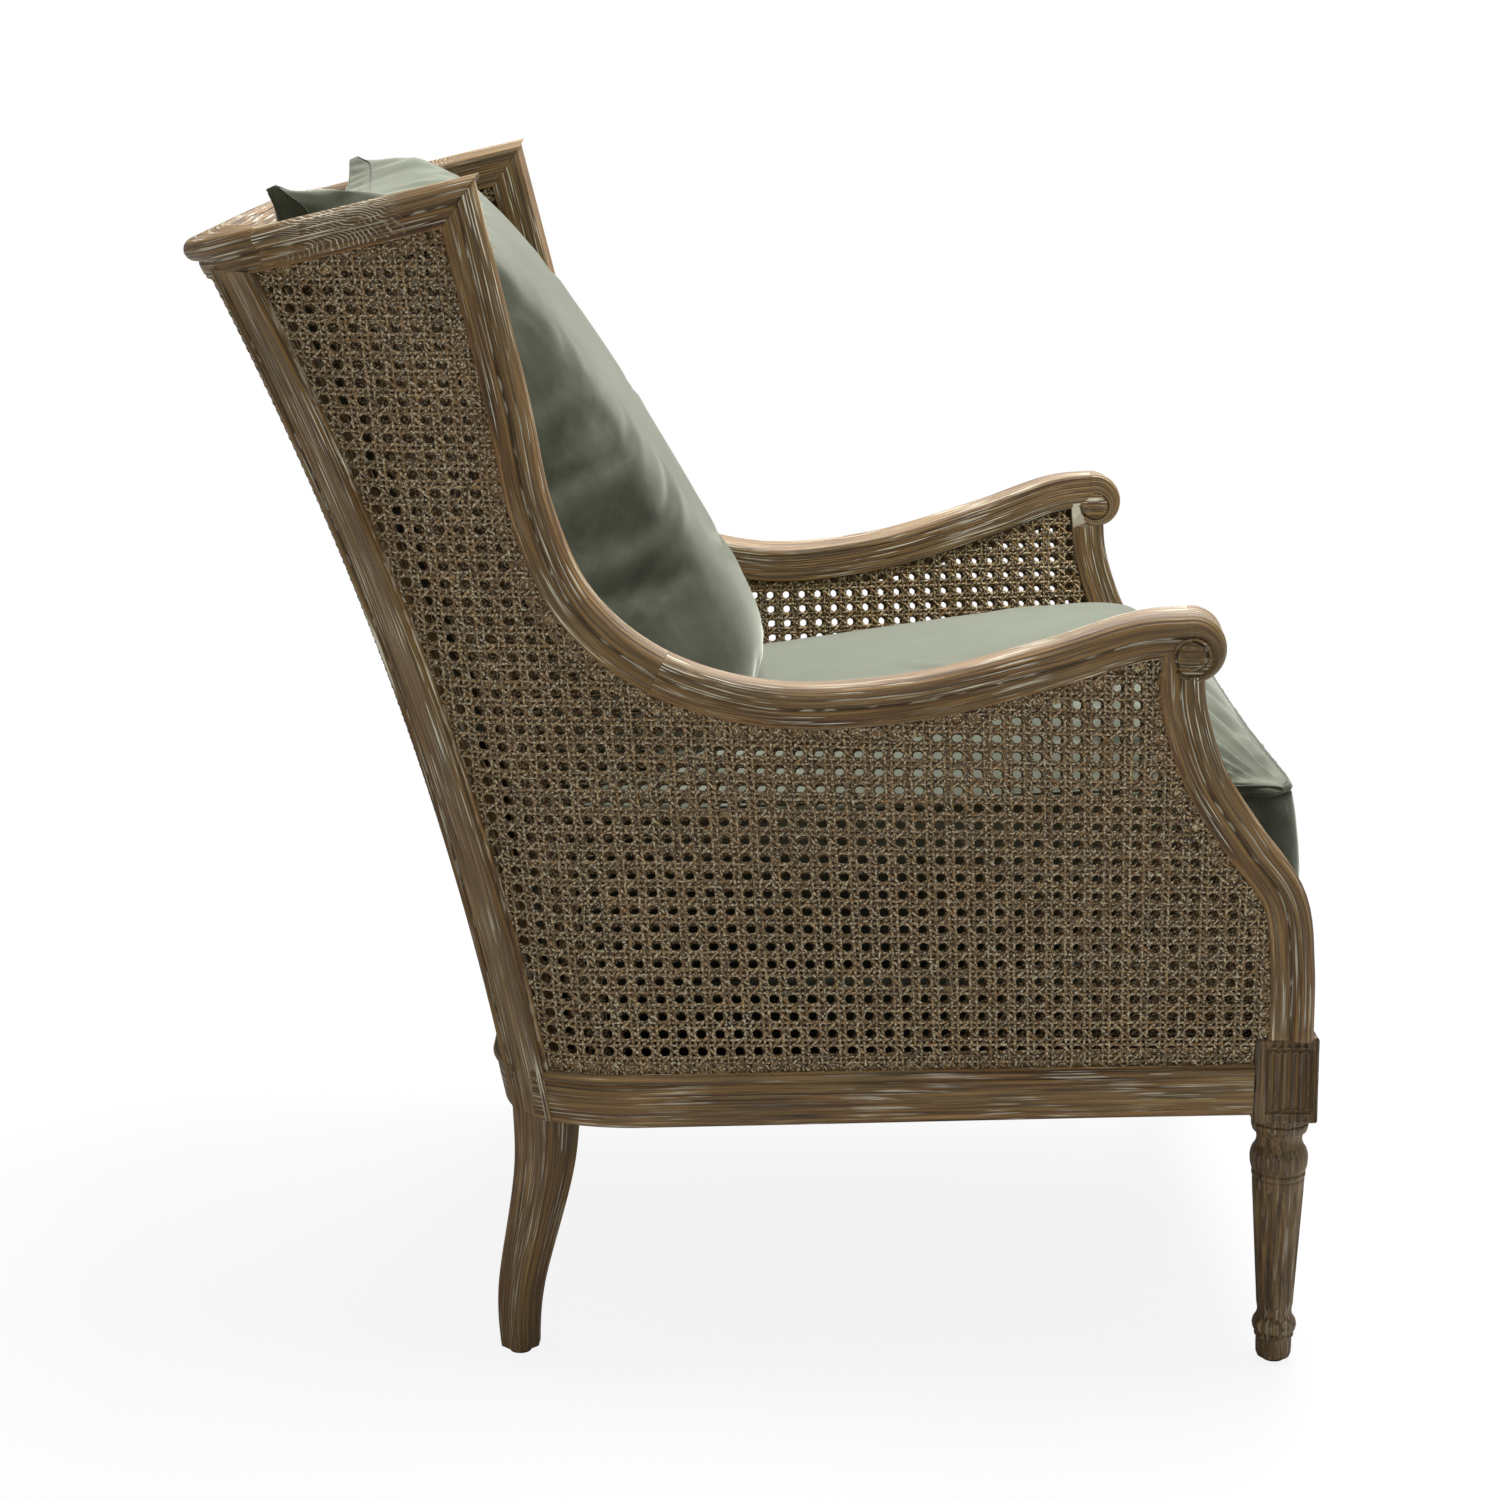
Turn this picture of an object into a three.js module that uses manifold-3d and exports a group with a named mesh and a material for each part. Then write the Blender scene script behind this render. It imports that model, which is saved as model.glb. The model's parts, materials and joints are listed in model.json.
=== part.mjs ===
// A wing bergere: a limed oak frame with double caned sides and back,
// a loose boxed seat cushion and a loose feather back cushion.
// Millimetres. X runs across, the sitter faces -Y and Z is up.
// The origin is the centre of the footprint at floor level.
import * as THREE from 'three';
import Module from 'manifold-3d';
import { mergeVertices } from 'three/addons/utils/BufferGeometryUtils.js';

const wasm = await Module();
wasm.setup();

// Clearances and small working lengths
const fit_gap = 0.3;
const cut_overrun = 30;
const probe = 0.5;
const merge_tolerance = 0.0005;
const search_steps = 40;

// Side frame, seen from the side
const chair_front_y = -480;
const wing_mitre_y = 242;
const wing_mitre_z = 960;
const wing_tip_lead = 28;
const wing_tip_rise = 40;
const wing_tip_y = wing_mitre_y - wing_tip_lead;
const wing_tip_z = wing_mitre_z + wing_tip_rise;
const top_rail_fall_share = 0.242;
const arm_low_z = 557;
const scroll_y = -362;
const scroll_z = 623;

// Caned shell: half widths across and how far it leans per millimetre of height
const side_half_front = 354;
const side_half_rear = 360;
const lean_front_share = 0.1;
const lean_rear_share = -0.088;
const lean_start_y = -450;
const lean_end_y = 220;

// Back of the shell: outer face at three heights, the highest just under the crest
const back_low_z = 264;
const back_top_drop = 24;
const back_top_z = wing_mitre_z - back_top_drop;
const back_mid_z = (back_low_z + back_top_z) / 2;
const back_low_y = 207.5;
const back_mid_y = 313;
const back_top_y = 468;

// Rounded rear corner in plan: side, post and back arcs
const corner_side_radius = 165;
const corner_post_radius = 73;
const corner_back_radius_low = 110;
const corner_back_radius_top = 270;
const corner_side_turn = THREE.MathUtils.degToRad(27);
const corner_post_turn = THREE.MathUtils.degToRad(36);
const quarter_turn = Math.PI / 2;

// Moulded members
const member_width = 35;
const member_depth = 34;
const fascia_proud = 3.5;
const torus_radius = 9.5;
const torus_proud = 10.5;
const post_width = 46;

// Seat frame
const rail_top_z = 268;
const rail_height = 43;
const rail_fall = 8;
const rail_proud = 7;
const block_size = 54;
const block_bottom_z = 218;
const block_top_z = 292;
const block_proud = 2;
const block_outer_x = side_half_front + block_proud;
const front_rail_setback = 5;
const front_rail_thickness = 30;

// Legs and glides
const glide_height = 3;
const glide_radius = 9;
const front_leg_radius = 24.5;
const flute_count = 12;
const sabre_top_size = 41;
const sabre_foot_size = 24.5;
const sabre_foot_y = 198;
const sabre_waist_y = 180;
const sabre_waist_z = 172;
const sabre_foot_inset = 43;
const sabre_foot_x = side_half_rear - sabre_foot_inset;

// Cane
const cane_thickness = 2.4;
const cane_layer_spacing = 30;
const edge_gap = 0.5;

// Seat deck
const deck_frame_height = 16;
const deck_frame_width = 44;
const deck_frame_drop = 2;
const strap_width = 50;
const strap_thickness = 2.5;
const strap_count_lengthwise = 5;
const strap_count_across = 5;
const deck_front_z = 350;
const deck_rear_z = 324;
const dust_cover_thickness = 1.2;

// Cushions: the seat cushion fills the room between the sides' members
const seat_side_room = 12;
const seat_rear_room = 18;
const seat_corner_draw = 103;
const seat_half_front = side_half_front - member_depth - seat_side_room;
const seat_half_rear = side_half_rear - member_depth - seat_rear_room;
const seat_front_y = -472;
const seat_rear_y = 176;
const seat_boxing = 146;
const seat_crown = 72;
const back_side_room = 76;
const back_cushion_half_width = side_half_rear - member_depth - back_side_room;
const back_cushion_height = 505;
const back_cushion_crown = 122;

const wood = { color: 0x77664a, roughness: 0.72, metalness: 0 };
const cane = { color: 0x6b5338, roughness: 0.8, metalness: 0 };
const velvet = { color: 0x6b7060, roughness: 0.9, metalness: 0 };
const lining = { color: 0x2b2b2a, roughness: 0.95, metalness: 0 };
const jute = { color: 0x9a8358, roughness: 0.95, metalness: 0 };
const nylon = { color: 0x3a332b, roughness: 0.6, metalness: 0 };

const chair = new THREE.Group();
const lerp = THREE.MathUtils.lerp;

function vec(x, y, z) {
  return new THREE.Vector3(x, y, z);
}

// Closed solids

function signedVolume(points, faces) {
  let volume = 0;
  for (const [a, b, c] of faces) {
    volume += points[a].dot(points[b].clone().cross(points[c]));
  }
  return volume;
}

function solid(points, faces) {
  const outward = signedVolume(points, faces) > 0;
  const geometry = new THREE.BufferGeometry();
  const places = points.flatMap((p) => [p.x, p.y, p.z]);
  const order = faces.flatMap(([a, b, c]) => (outward ? [a, b, c] : [a, c, b]));
  geometry.setAttribute('position', new THREE.Float32BufferAttribute(places, 3));
  geometry.setIndex(order);
  return geometry;
}

// Rings of equal count joined into a skin, with flat caps shaped by the outline
function loft(rings, capOutline, closed = false) {
  const count = rings[0].length;
  const points = rings.flat();
  const faces = [];
  const spans = closed ? rings.length : rings.length - 1;
  for (let r = 0; r < spans; r += 1) {
    const lower = r * count;
    const upper = ((r + 1) % rings.length) * count;
    for (let i = 0; i < count; i += 1) {
      const j = (i + 1) % count;
      faces.push([lower + i, lower + j, upper + j]);
      faces.push([lower + i, upper + j, upper + i]);
    }
  }
  if (!closed) {
    const outline = capOutline.map(([a, b]) => new THREE.Vector2(a, b));
    const ccw = !THREE.ShapeUtils.isClockWise(outline);
    const last = (rings.length - 1) * count;
    for (const [a, b, c] of THREE.ShapeUtils.triangulateShape(outline, [])) {
      faces.push(ccw ? [c, b, a] : [a, b, c]);
      faces.push(ccw ? [last + a, last + b, last + c] : [last + c, last + b, last + a]);
    }
    if (!ccw) faces.reverse();
  }
  return solid(points, faces);
}

function cleaned(geometry) {
  const bare = geometry.clone();
  bare.deleteAttribute('normal');
  bare.deleteAttribute('uv');
  return mergeVertices(bare, merge_tolerance);
}

function toManifold(geometry) {
  const bare = cleaned(geometry);
  const vertProperties = new Float32Array(bare.attributes.position.array);
  const triVerts = new Uint32Array(bare.index.array);
  return new wasm.Manifold(new wasm.Mesh({ numProp: 3, vertProperties, triVerts }));
}

function fromManifold(body) {
  const mesh = body.getMesh();
  const geometry = new THREE.BufferGeometry();
  geometry.setAttribute('position', new THREE.BufferAttribute(mesh.vertProperties, 3));
  geometry.setIndex(new THREE.BufferAttribute(mesh.triVerts, 1));
  return geometry;
}

function cutBy(geometry, cutters) {
  let body = toManifold(geometry);
  for (const cutter of cutters) body = body.subtract(toManifold(cutter));
  return fromManifold(body);
}

// A cut that drops the offcuts and keeps the piece itself
function trimmedBy(geometry, cutters) {
  const parts = toManifold(cutBy(geometry, cutters)).decompose();
  return fromManifold(parts.reduce((a, b) => (b.volume() > a.volume() ? b : a)));
}

function joined(geometries) {
  let body = toManifold(geometries[0]);
  for (const other of geometries.slice(1)) body = body.add(toManifold(other));
  return fromManifold(body);
}

function mirrored(geometry) {
  const bare = cleaned(geometry);
  const places = bare.attributes.position;
  for (let i = 0; i < places.count; i += 1) places.setX(i, -places.getX(i));
  const order = bare.index.array;
  for (let i = 0; i < order.length; i += 3) {
    const kept = order[i + 1];
    order[i + 1] = order[i + 2];
    order[i + 2] = kept;
  }
  return bare;
}

function piece(name, geometry, look) {
  const mesh = new THREE.Mesh(cleaned(geometry), new THREE.MeshStandardMaterial(look));
  mesh.name = name;
  chair.add(mesh);
}

// The sitter's left side is +X, so the right side is its mirror image
function pair(name, geometry, look) {
  piece(`left_${name}`, geometry, look);
  piece(`right_${name}`, mirrored(geometry), look);
}

// The caned shell that every member follows

function backY(z) {
  const a = (z - back_mid_z) / (back_low_z - back_mid_z);
  const b = (z - back_mid_z) / (back_top_z - back_mid_z);
  const low = (a * (z - back_top_z)) / (back_low_z - back_top_z);
  const top = (b * (z - back_low_z)) / (back_top_z - back_low_z);
  return low * back_low_y + top * back_top_y + (1 - low - top) * back_mid_y;
}

function sideX(y, z) {
  const t = THREE.MathUtils.smoothstep(y, lean_start_y, lean_end_y);
  const lean = lerp(lean_front_share, lean_rear_share, t);
  return lerp(side_half_front, side_half_rear, t) + lean * (z - back_low_z);
}

function cornerArcs(z) {
  const t = (z - back_low_z) / (back_top_z - back_low_z);
  const backRadius = lerp(corner_back_radius_low, corner_back_radius_top, t);
  const first = corner_side_turn;
  const second = corner_side_turn + corner_post_turn;
  return [
    { radius: corner_side_radius, from: 0, to: first },
    { radius: corner_post_radius, from: first, to: second },
    { radius: backRadius, from: second, to: quarter_turn },
  ];
}

// Plan position at a heading angle: zero faces the side, a quarter turn the back
function cornerPoint(heading, z) {
  const arcs = cornerArcs(z);
  let y = backY(z);
  for (const arc of arcs) y -= arc.radius * (Math.sin(arc.to) - Math.sin(arc.from));
  let x = sideX(y, z);
  for (const arc of arcs) {
    const end = THREE.MathUtils.clamp(heading, arc.from, arc.to);
    x -= arc.radius * (Math.cos(arc.from) - Math.cos(end));
    y += arc.radius * (Math.sin(end) - Math.sin(arc.from));
  }
  return vec(x, y, z);
}

function bisect(low, high, test) {
  let a = low;
  let b = high;
  for (let step = 0; step < search_steps; step += 1) {
    const middle = (a + b) / 2;
    if (test(middle)) a = middle;
    else b = middle;
  }
  return (a + b) / 2;
}

function sidePoint(y, z) {
  if (y <= cornerPoint(0, z).y) return vec(sideX(y, z), y, z);
  const heading = bisect(0, quarter_turn, (a) => cornerPoint(a, z).y < y);
  return cornerPoint(heading, z);
}

function backPoint(x, z) {
  const half = Math.abs(x);
  const side = Math.sign(x) || 1;
  if (half <= cornerPoint(quarter_turn, z).x) return vec(x, backY(z), z);
  const heading = bisect(0, quarter_turn, (a) => cornerPoint(a, z).x > half);
  return vec(x, cornerPoint(heading, z).y, z).setX(side * half);
}

// Position and outward normal on a surface given by two parameters
function onSurface(surface, u, v, du, dv) {
  const point = surface(u, v);
  const along = surface(u + du, v).sub(surface(u - du, v));
  const up = surface(u, v + dv).sub(surface(u, v - dv));
  const normal = along.cross(up).normalize();
  return { point, normal };
}

function onSide(y, z) {
  const place = onSurface(sidePoint, y, z, probe, probe);
  if (place.normal.x < 0) place.normal.negate();
  return place;
}

function onBack(x, z) {
  const place = onSurface(backPoint, x, z, probe, probe);
  if (place.normal.y < 0) place.normal.negate();
  return place;
}

const turn_probe = 0.002;

function onCorner(heading, z) {
  const place = onSurface(cornerPoint, heading, z, turn_probe, probe);
  if (place.normal.x + place.normal.y < 0) place.normal.negate();
  return place;
}

// Sweeps: a section of (across, outward) points carried along places on the shell

const least_spread = 0.4;

function grown(section, by) {
  const outline = section.map(([a, b]) => new THREE.Vector2(a, b));
  const sign = THREE.ShapeUtils.isClockWise(outline) ? -1 : 1;
  return outline.map((p, i) => {
    const before = outline[(i + outline.length - 1) % outline.length];
    const after = outline[(i + 1) % outline.length];
    const a = p.clone().sub(before).normalize();
    const b = after.clone().sub(p).normalize();
    const normal = new THREE.Vector2(a.y + b.y, -a.x - b.x).normalize();
    const spread = Math.max(normal.dot(new THREE.Vector2(a.y, -a.x)), least_spread);
    return [p.x + (sign * by * normal.x) / spread, p.y + (sign * by * normal.y) / spread];
  });
}

function tangentAt(places, i) {
  const ahead = places[Math.min(i + 1, places.length - 1)].point;
  const behind = places[Math.max(i - 1, 0)].point;
  return ahead.clone().sub(behind).normalize();
}

// ends: planes that trim the first and last ring, each { point, normal } or null
function sweep(places, section, side = 1, ends = [null, null]) {
  const rings = places.map((place, i) => {
    const tangent = tangentAt(places, i);
    const across = tangent.clone().cross(place.normal).normalize().multiplyScalar(side);
    const outward = across.clone().cross(tangent).normalize().multiplyScalar(side);
    if (outward.dot(place.normal) < 0) outward.negate();
    const plane = i === 0 ? ends[0] : i === places.length - 1 ? ends[1] : null;
    return section.map(([b, n]) => {
      const p = place.point.clone().addScaledVector(across, b).addScaledVector(outward, n);
      if (!plane) return p;
      const reach = plane.point.clone().sub(p).dot(plane.normal) / tangent.dot(plane.normal);
      return p.addScaledVector(tangent, reach);
    });
  });
  return loft(rings, section);
}

const torus_angles = [150, 110, 75, 40, 5].map(THREE.MathUtils.degToRad);

// Moulded section: flat fascia by the cane, then a bold torus on the outer edge
function mouldedSection(width = member_width, depth = member_depth) {
  const centre = width - torus_radius;
  const rise = torus_proud - torus_radius;
  const section = [[0, fascia_proud]];
  section.push([centre - torus_radius - 2 * rise, fascia_proud]);
  for (const angle of torus_angles) {
    section.push([centre + torus_radius * Math.cos(angle), rise + torus_radius * Math.sin(angle)]);
  }
  section.push([width - 2 * rise, -torus_radius]);
  section.push([width - 2 * rise, -depth + torus_radius / 2]);
  section.push([width - torus_radius / 2, -depth]);
  section.push([0, -depth]);
  return section;
}

const scroll_rise_share = (scroll_z - arm_low_z) / (wing_mitre_z - arm_low_z);

// Outline of the arm and wing on the side, from the wing mitre to the scroll.
// Each pair is a share of the reach from scroll to mitre and of the rise above the low point.
const arm_line_shares = [
  [1.0, 1.0], [0.941, 0.633], [0.909, 0.409], [0.848, 0.213], [0.738, 0.074],
  [0.576, 0.001], [0.378, 0.016], [0.182, 0.094], [0.06, 0.155], [0.0, scroll_rise_share],
];
const scarf_share = 0.44;
const arm_steps = 22;

function sideSpline(shares, fromY, toY, fromZ, toZ) {
  const points = shares.map(([a, b]) => vec(0, lerp(fromY, toY, a), lerp(fromZ, toZ, b)));
  return new THREE.CatmullRomCurve3(points, false, 'centripetal');
}

const arm_line = sideSpline(arm_line_shares, scroll_y, wing_mitre_y, arm_low_z, wing_mitre_z);

// Support from the arm down to the block, as shares of its set-back and its height
const support_head_y = -337;
const support_foot_y = -439;
const support_head_z = 614;
const support_line_shares = [
  [0, 1.0], [0.04, 0.871], [0.25, 0.674], [0.63, 0.486], [0.9, 0.365], [0.98, 0.2], [1.0, 0],
];
const support_steps = 9;
const support_tenon = 12;
const support_line = sideSpline(
  support_line_shares, support_head_y, support_foot_y, block_top_z, support_head_z);

function sidePlaces(curve, from, to, steps) {
  const places = [];
  for (let i = 0; i <= steps; i += 1) {
    const p = curve.getPoint(lerp(from, to, i / steps));
    places.push(onSide(p.y, p.z));
  }
  return places;
}

function railTopAt(y) {
  const front = chair_front_y + block_size;
  const t = THREE.MathUtils.clamp((y - front) / (back_low_y - front), 0, 1);
  return rail_top_z - rail_fall * t;
}

function topLineZ(y) {
  return wing_mitre_z - top_rail_fall_share * (y - wing_mitre_y);
}

function settleZ(placeAt) {
  let z = wing_mitre_z;
  for (let step = 0; step < search_steps; step += 1) z = topLineZ(placeAt(z).y);
  return z;
}

// Half angle that a width takes up on the post arc
const post_half_turn = post_width / 2 / corner_post_radius;
const post_heading = corner_side_turn + corner_post_turn / 2;
const rear_bead_heading = post_heading + post_half_turn;
// The cane is tucked a little under the post before it is trimmed to it
const tuck_share = 0.7;
const tucked_front_heading = post_heading - tuck_share * post_half_turn;
const tucked_rear_heading = post_heading + tuck_share * post_half_turn;

// Legs

// Shares of the turned length from the block down, and of the largest radius
const leg_turning_shares = [
  [0, 1.0], [0.035, 1.0], [0.06, 0.9], [0.09, 0.81], [0.12, 0.84], [0.155, 0.97], [0.185, 1.0],
  [0.215, 0.97], [0.24, 0.86], [0.255, 0.92], [0.29, 0.925], [0.325, 0.89],
  [0.775, 0.655], [0.81, 0.615], [0.83, 0.62], [0.85, 0.73], [0.87, 0.76], [0.89, 0.73],
  [0.905, 0.64], [0.92, 0.69], [0.97, 0.7], [0.99, 0.64], [1.0, 0.5],
];
const flute_top_share = 0.325;
const flute_end_share = 0.775;
const flute_runout_share = 0.02;
const flute_depth = 2.6;
const facets_per_flute = 3;

function turningRadius(drop) {
  const next = Math.max(1, leg_turning_shares.findIndex(([at]) => at >= drop));
  const [from, to] = [leg_turning_shares[next - 1], leg_turning_shares[next]];
  return lerp(from[1], to[1], (drop - from[0]) / (to[0] - from[0]));
}

function turnedLeg(centre, topZ) {
  const length = topZ - glide_height - fit_gap;
  const sides = flute_count * facets_per_flute;
  const cuts = [flute_top_share + flute_runout_share, flute_end_share - flute_runout_share];
  const drops = [...leg_turning_shares.map(([drop]) => drop), ...cuts].sort((a, b) => a - b);
  const rows = drops.map((drop) => [drop, turningRadius(drop), cuts.includes(drop)]);
  const rings = rows.map(([drop, radius, fluted]) => {
    const ring = [];
    for (let i = 0; i < sides; i += 1) {
      const angle = (i / sides) * 2 * Math.PI;
      const groove = fluted && i % facets_per_flute === 0 ? flute_depth : 0;
      const r = front_leg_radius * radius - groove;
      ring.push(vec(
        centre.x + r * Math.cos(angle), centre.y + r * Math.sin(angle), topZ - drop * length));
    }
    return ring;
  });
  return loft(rings, rings[0].map((p) => [p.x, p.y]));
}

// Reeded panel sunk into an outer face of the block
const panel_width = 34;
const panel_height = 56;
const panel_depth = 2.5;
const reed_count = 5;
const reed_edge_share = 0.3;
const reed_sink_share = 0.35;
const panel_offset = 4;

function blockPanel() {
  const rings = [];
  const reed = panel_width / reed_count;
  const outline = [[-panel_width / 2, cut_overrun]];
  for (let i = 0; i < reed_count; i += 1) {
    const left = -panel_width / 2 + i * reed;
    outline.push([left, -panel_depth]);
    outline.push([left + reed * reed_edge_share, -panel_depth * reed_sink_share]);
    outline.push([left + reed * (1 - reed_edge_share), -panel_depth * reed_sink_share]);
  }
  outline.push([panel_width / 2, -panel_depth]);
  outline.push([panel_width / 2, cut_overrun]);
  for (const z of [-panel_height / 2, panel_height / 2]) {
    rings.push(outline.map(([a, b]) => vec(a, -b, z)));
  }
  return loft(rings, outline);
}

function box(x0, x1, y0, y1, z0, z1) {
  const geometry = new THREE.BoxGeometry(x1 - x0, y1 - y0, z1 - z0);
  geometry.translate((x0 + x1) / 2, (y0 + y1) / 2, (z0 + z1) / 2);
  return geometry;
}

const leg_centre = vec(block_outer_x - block_size / 2, chair_front_y + block_size / 2, 0);

function frontLeg() {
  const half = block_size / 2;
  const block = box(
    leg_centre.x - half, leg_centre.x + half, leg_centre.y - half, leg_centre.y + half,
    block_bottom_z, block_top_z - fit_gap);
  const panel = blockPanel();
  const middle = (block_bottom_z + block_top_z) / 2;
  const facing = panel.clone().translate(leg_centre.x + panel_offset, leg_centre.y - half, middle);
  const outer = panel.clone().rotateZ(quarter_turn);
  outer.translate(leg_centre.x + half, leg_centre.y - panel_offset, middle);
  const turning = turnedLeg(leg_centre, block_bottom_z + fit_gap);
  return joined([cutBy(block, [facing, outer]), turning]);
}

// Back post: a moulded stile that runs down into a sabre leg set at the corner's angle
const post_depth = 38;
const post_inner_share = 0.62;
const post_shoulder_share = 0.45;

function postOutline(width, depth, bead) {
  const w = width / 2;
  const inner = w * post_inner_share;
  const shoulder = depth * post_shoulder_share;
  return [
    [-w, -bead], [-w, bead / 2], [-w + bead, bead], [-w + 2 * bead, 0],
    [w - 2 * bead, 0], [w - bead, bead], [w, bead / 2], [w, -bead],
    [w, -shoulder], [inner, -depth], [-inner, -depth], [-w, -shoulder],
  ];
}

// Leg section as shares of its half width and its depth, with the outer edges eased
const leg_outline_shares = [
  [-1, -0.1], [-1, -0.03], [-0.97, 0], [-0.6, 0], [0.6, 0], [0.97, 0], [1, -0.03], [1, -0.1],
  [1, -0.6], [1, -1], [-1, -1], [-1, -0.6],
];

function legOutline(size) {
  return leg_outline_shares.map(([a, b]) => [(a * size) / 2, b * size]);
}

const post_bead = 2.5;
const post_levels_shares = [0.02, 0.16, 0.3, 0.44, 0.58, 0.72, 0.86, 1.0];
const sabre_levels = 9;
const sabre_heel_share = 0.66;
const sabre_full_share = 0.95;

function postRing(centre, outline, outset) {
  const out = vec(Math.cos(post_heading), Math.sin(post_heading), 0);
  const across = vec(-Math.sin(post_heading), Math.cos(post_heading), 0);
  return outline.map(([b, n]) => centre.clone()
    .addScaledVector(across, b).addScaledVector(out, n + outset));
}

function sabreCentre(z) {
  const top = cornerPoint(post_heading, rail_top_z);
  const t = (rail_top_z - z) / (rail_top_z - glide_height);
  const waist = (rail_top_z - sabre_waist_z) / (rail_top_z - glide_height);
  const curve = new THREE.SplineCurve([
    new THREE.Vector2(0, top.y), new THREE.Vector2(waist, sabre_waist_y),
    new THREE.Vector2(lerp(waist, 1, sabre_heel_share), sabre_foot_y),
    new THREE.Vector2(1, sabre_foot_y),
  ]);
  const y = bisect(0, 1, (k) => curve.getPoint(k).x < t);
  return vec(lerp(top.x, sabre_foot_x, t), curve.getPoint(y).y, z);
}

function backPost(extra = 0) {
  const rings = [];
  const foot = glide_height + fit_gap;
  const floorOfRail = railTopAt(back_low_y) - rail_height;
  for (let i = 0; i <= sabre_levels; i += 1) {
    const t = i / sabre_levels;
    const z = lerp(foot, floorOfRail - post_bead, t);
    const size = lerp(sabre_foot_size, sabre_top_size, Math.min(1, t / sabre_full_share)) + 2 * extra;
    rings.push(postRing(sabreCentre(z), legOutline(size), extra));
  }
  const start = floorOfRail + post_bead;
  for (const share of post_levels_shares) {
    const z = lerp(start, back_top_z, share);
    const outline = postOutline(post_width + 2 * extra, post_depth + 2 * extra, post_bead);
    rings.push(postRing(cornerPoint(post_heading, z), outline, fascia_proud + extra));
  }
  return loft(rings, legOutline(sabre_top_size));
}

// Top loop: wing rails and the crest share one falling line around the corner
const wing_rail_steps = 6;
const corner_steps = 9;
const crest_half_steps = 2;

function wingRailPlaces() {
  const places = [];
  const join = settleZ((z) => cornerPoint(crest_joint_heading, z));
  const end = cornerPoint(crest_joint_heading, join).y;
  for (let i = 0; i <= wing_rail_steps; i += 1) {
    const y = lerp(end, wing_mitre_y, i / wing_rail_steps);
    places.push(onSide(y, settleZ((z) => vec(0, y, z))));
  }
  return places;
}

const crest_joint_share = 0.8;
const crest_joint_heading = corner_side_turn * crest_joint_share;

function crestHalfPlaces() {
  const places = [];
  for (let i = 0; i <= corner_steps; i += 1) {
    const heading = lerp(crest_joint_heading, quarter_turn, i / corner_steps);
    places.push(onCorner(heading, settleZ((z) => cornerPoint(heading, z))));
  }
  const last = places[places.length - 1].point.clone();
  for (let i = 1; i <= crest_half_steps; i += 1) {
    places.push(onBack(last.x * (1 - i / crest_half_steps), last.z));
  }
  return places;
}

function flipPlace(place) {
  const point = place.point.clone().setX(-place.point.x);
  const normal = place.normal.clone().setX(-place.normal.x);
  return { point, normal };
}

function crestPlaces() {
  const half = crestHalfPlaces();
  return [...half, ...half.slice(0, -1).reverse().map(flipPlace)];
}

function buttPlane(places, i, gap) {
  const tangent = tangentAt(places, i);
  const point = places[i].point.clone().addScaledVector(tangent, gap);
  return { point, normal: tangent };
}

// Plane between a wing rail and the crest, which faces the crest
function crestJoint(gap) {
  const wing = wingRailPlaces();
  return buttPlane([wing[1], wing[0], crestHalfPlaces()[1]], 1, gap);
}

function crestRail(extra = 0) {
  const end = crestJoint(fit_gap / 2 - extra);
  return sweep(crestPlaces(), grown(mouldedSection(), extra), -1, [end, flipPlace(end)]);
}

// The mitre plane at the wing tip holds the inner corner, the tip and the outward direction
function mitrePlane(offset) {
  const corner = onSide(wing_mitre_y, wing_mitre_z);
  const tip = sidePoint(wing_tip_y, wing_tip_z);
  const normal = tip.sub(corner.point).cross(corner.normal).normalize();
  if (normal.y > 0) normal.negate();
  return { point: corner.point.clone().addScaledVector(normal, offset), normal };
}

function wingTopRail() {
  const ends = [crestJoint(-fit_gap / 2), mitrePlane(-fit_gap / 2)];
  return sweep(wingRailPlaces(), mouldedSection(), 1, ends);
}

// Where the wing upright is scarfed to the arm, in steps and as a plane that faces the arm
const scarf_step = Math.round(arm_steps * scarf_share);

function scarfPlane(gap) {
  const places = sidePlaces(arm_line, (scarf_step - 1) / arm_steps, (scarf_step + 1) / arm_steps, 2);
  return buttPlane(places, 1, gap);
}

function wingUpright() {
  const places = sidePlaces(arm_line, 0, scarf_step / arm_steps, scarf_step);
  const ends = [mitrePlane(fit_gap / 2), scarfPlane(-fit_gap / 2)];
  return sweep(places, mouldedSection(), 1, ends);
}

// Scroll: the arm's torus narrows as it winds down around a disc with a raised eye
const scroll_disc_radius = member_width - 2 * torus_radius;
const scroll_eye_radius = 12.5;
const scroll_eye_proud = 8;
const scroll_eye_crown = 1;
const scroll_channel_depth = 3;
const scroll_quarter_share = 0.44;
const scroll_turn = 1.25 * Math.PI;
const scroll_band_steps = 12;
const scroll_disc_sides = 20;

// Points around the scroll's centre: turned runs from straight up towards the front
function scrollPoints() {
  const place = onSide(scroll_y, scroll_z);
  const up = vec(0, 0, 1).projectOnPlane(place.normal).normalize();
  const front = up.clone().cross(place.normal).normalize();
  if (front.y > 0) front.negate();
  return (turned, radius, out) => place.point.clone()
    .addScaledVector(up, radius * Math.cos(turned))
    .addScaledVector(front, radius * Math.sin(turned))
    .addScaledVector(place.normal, out);
}

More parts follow.
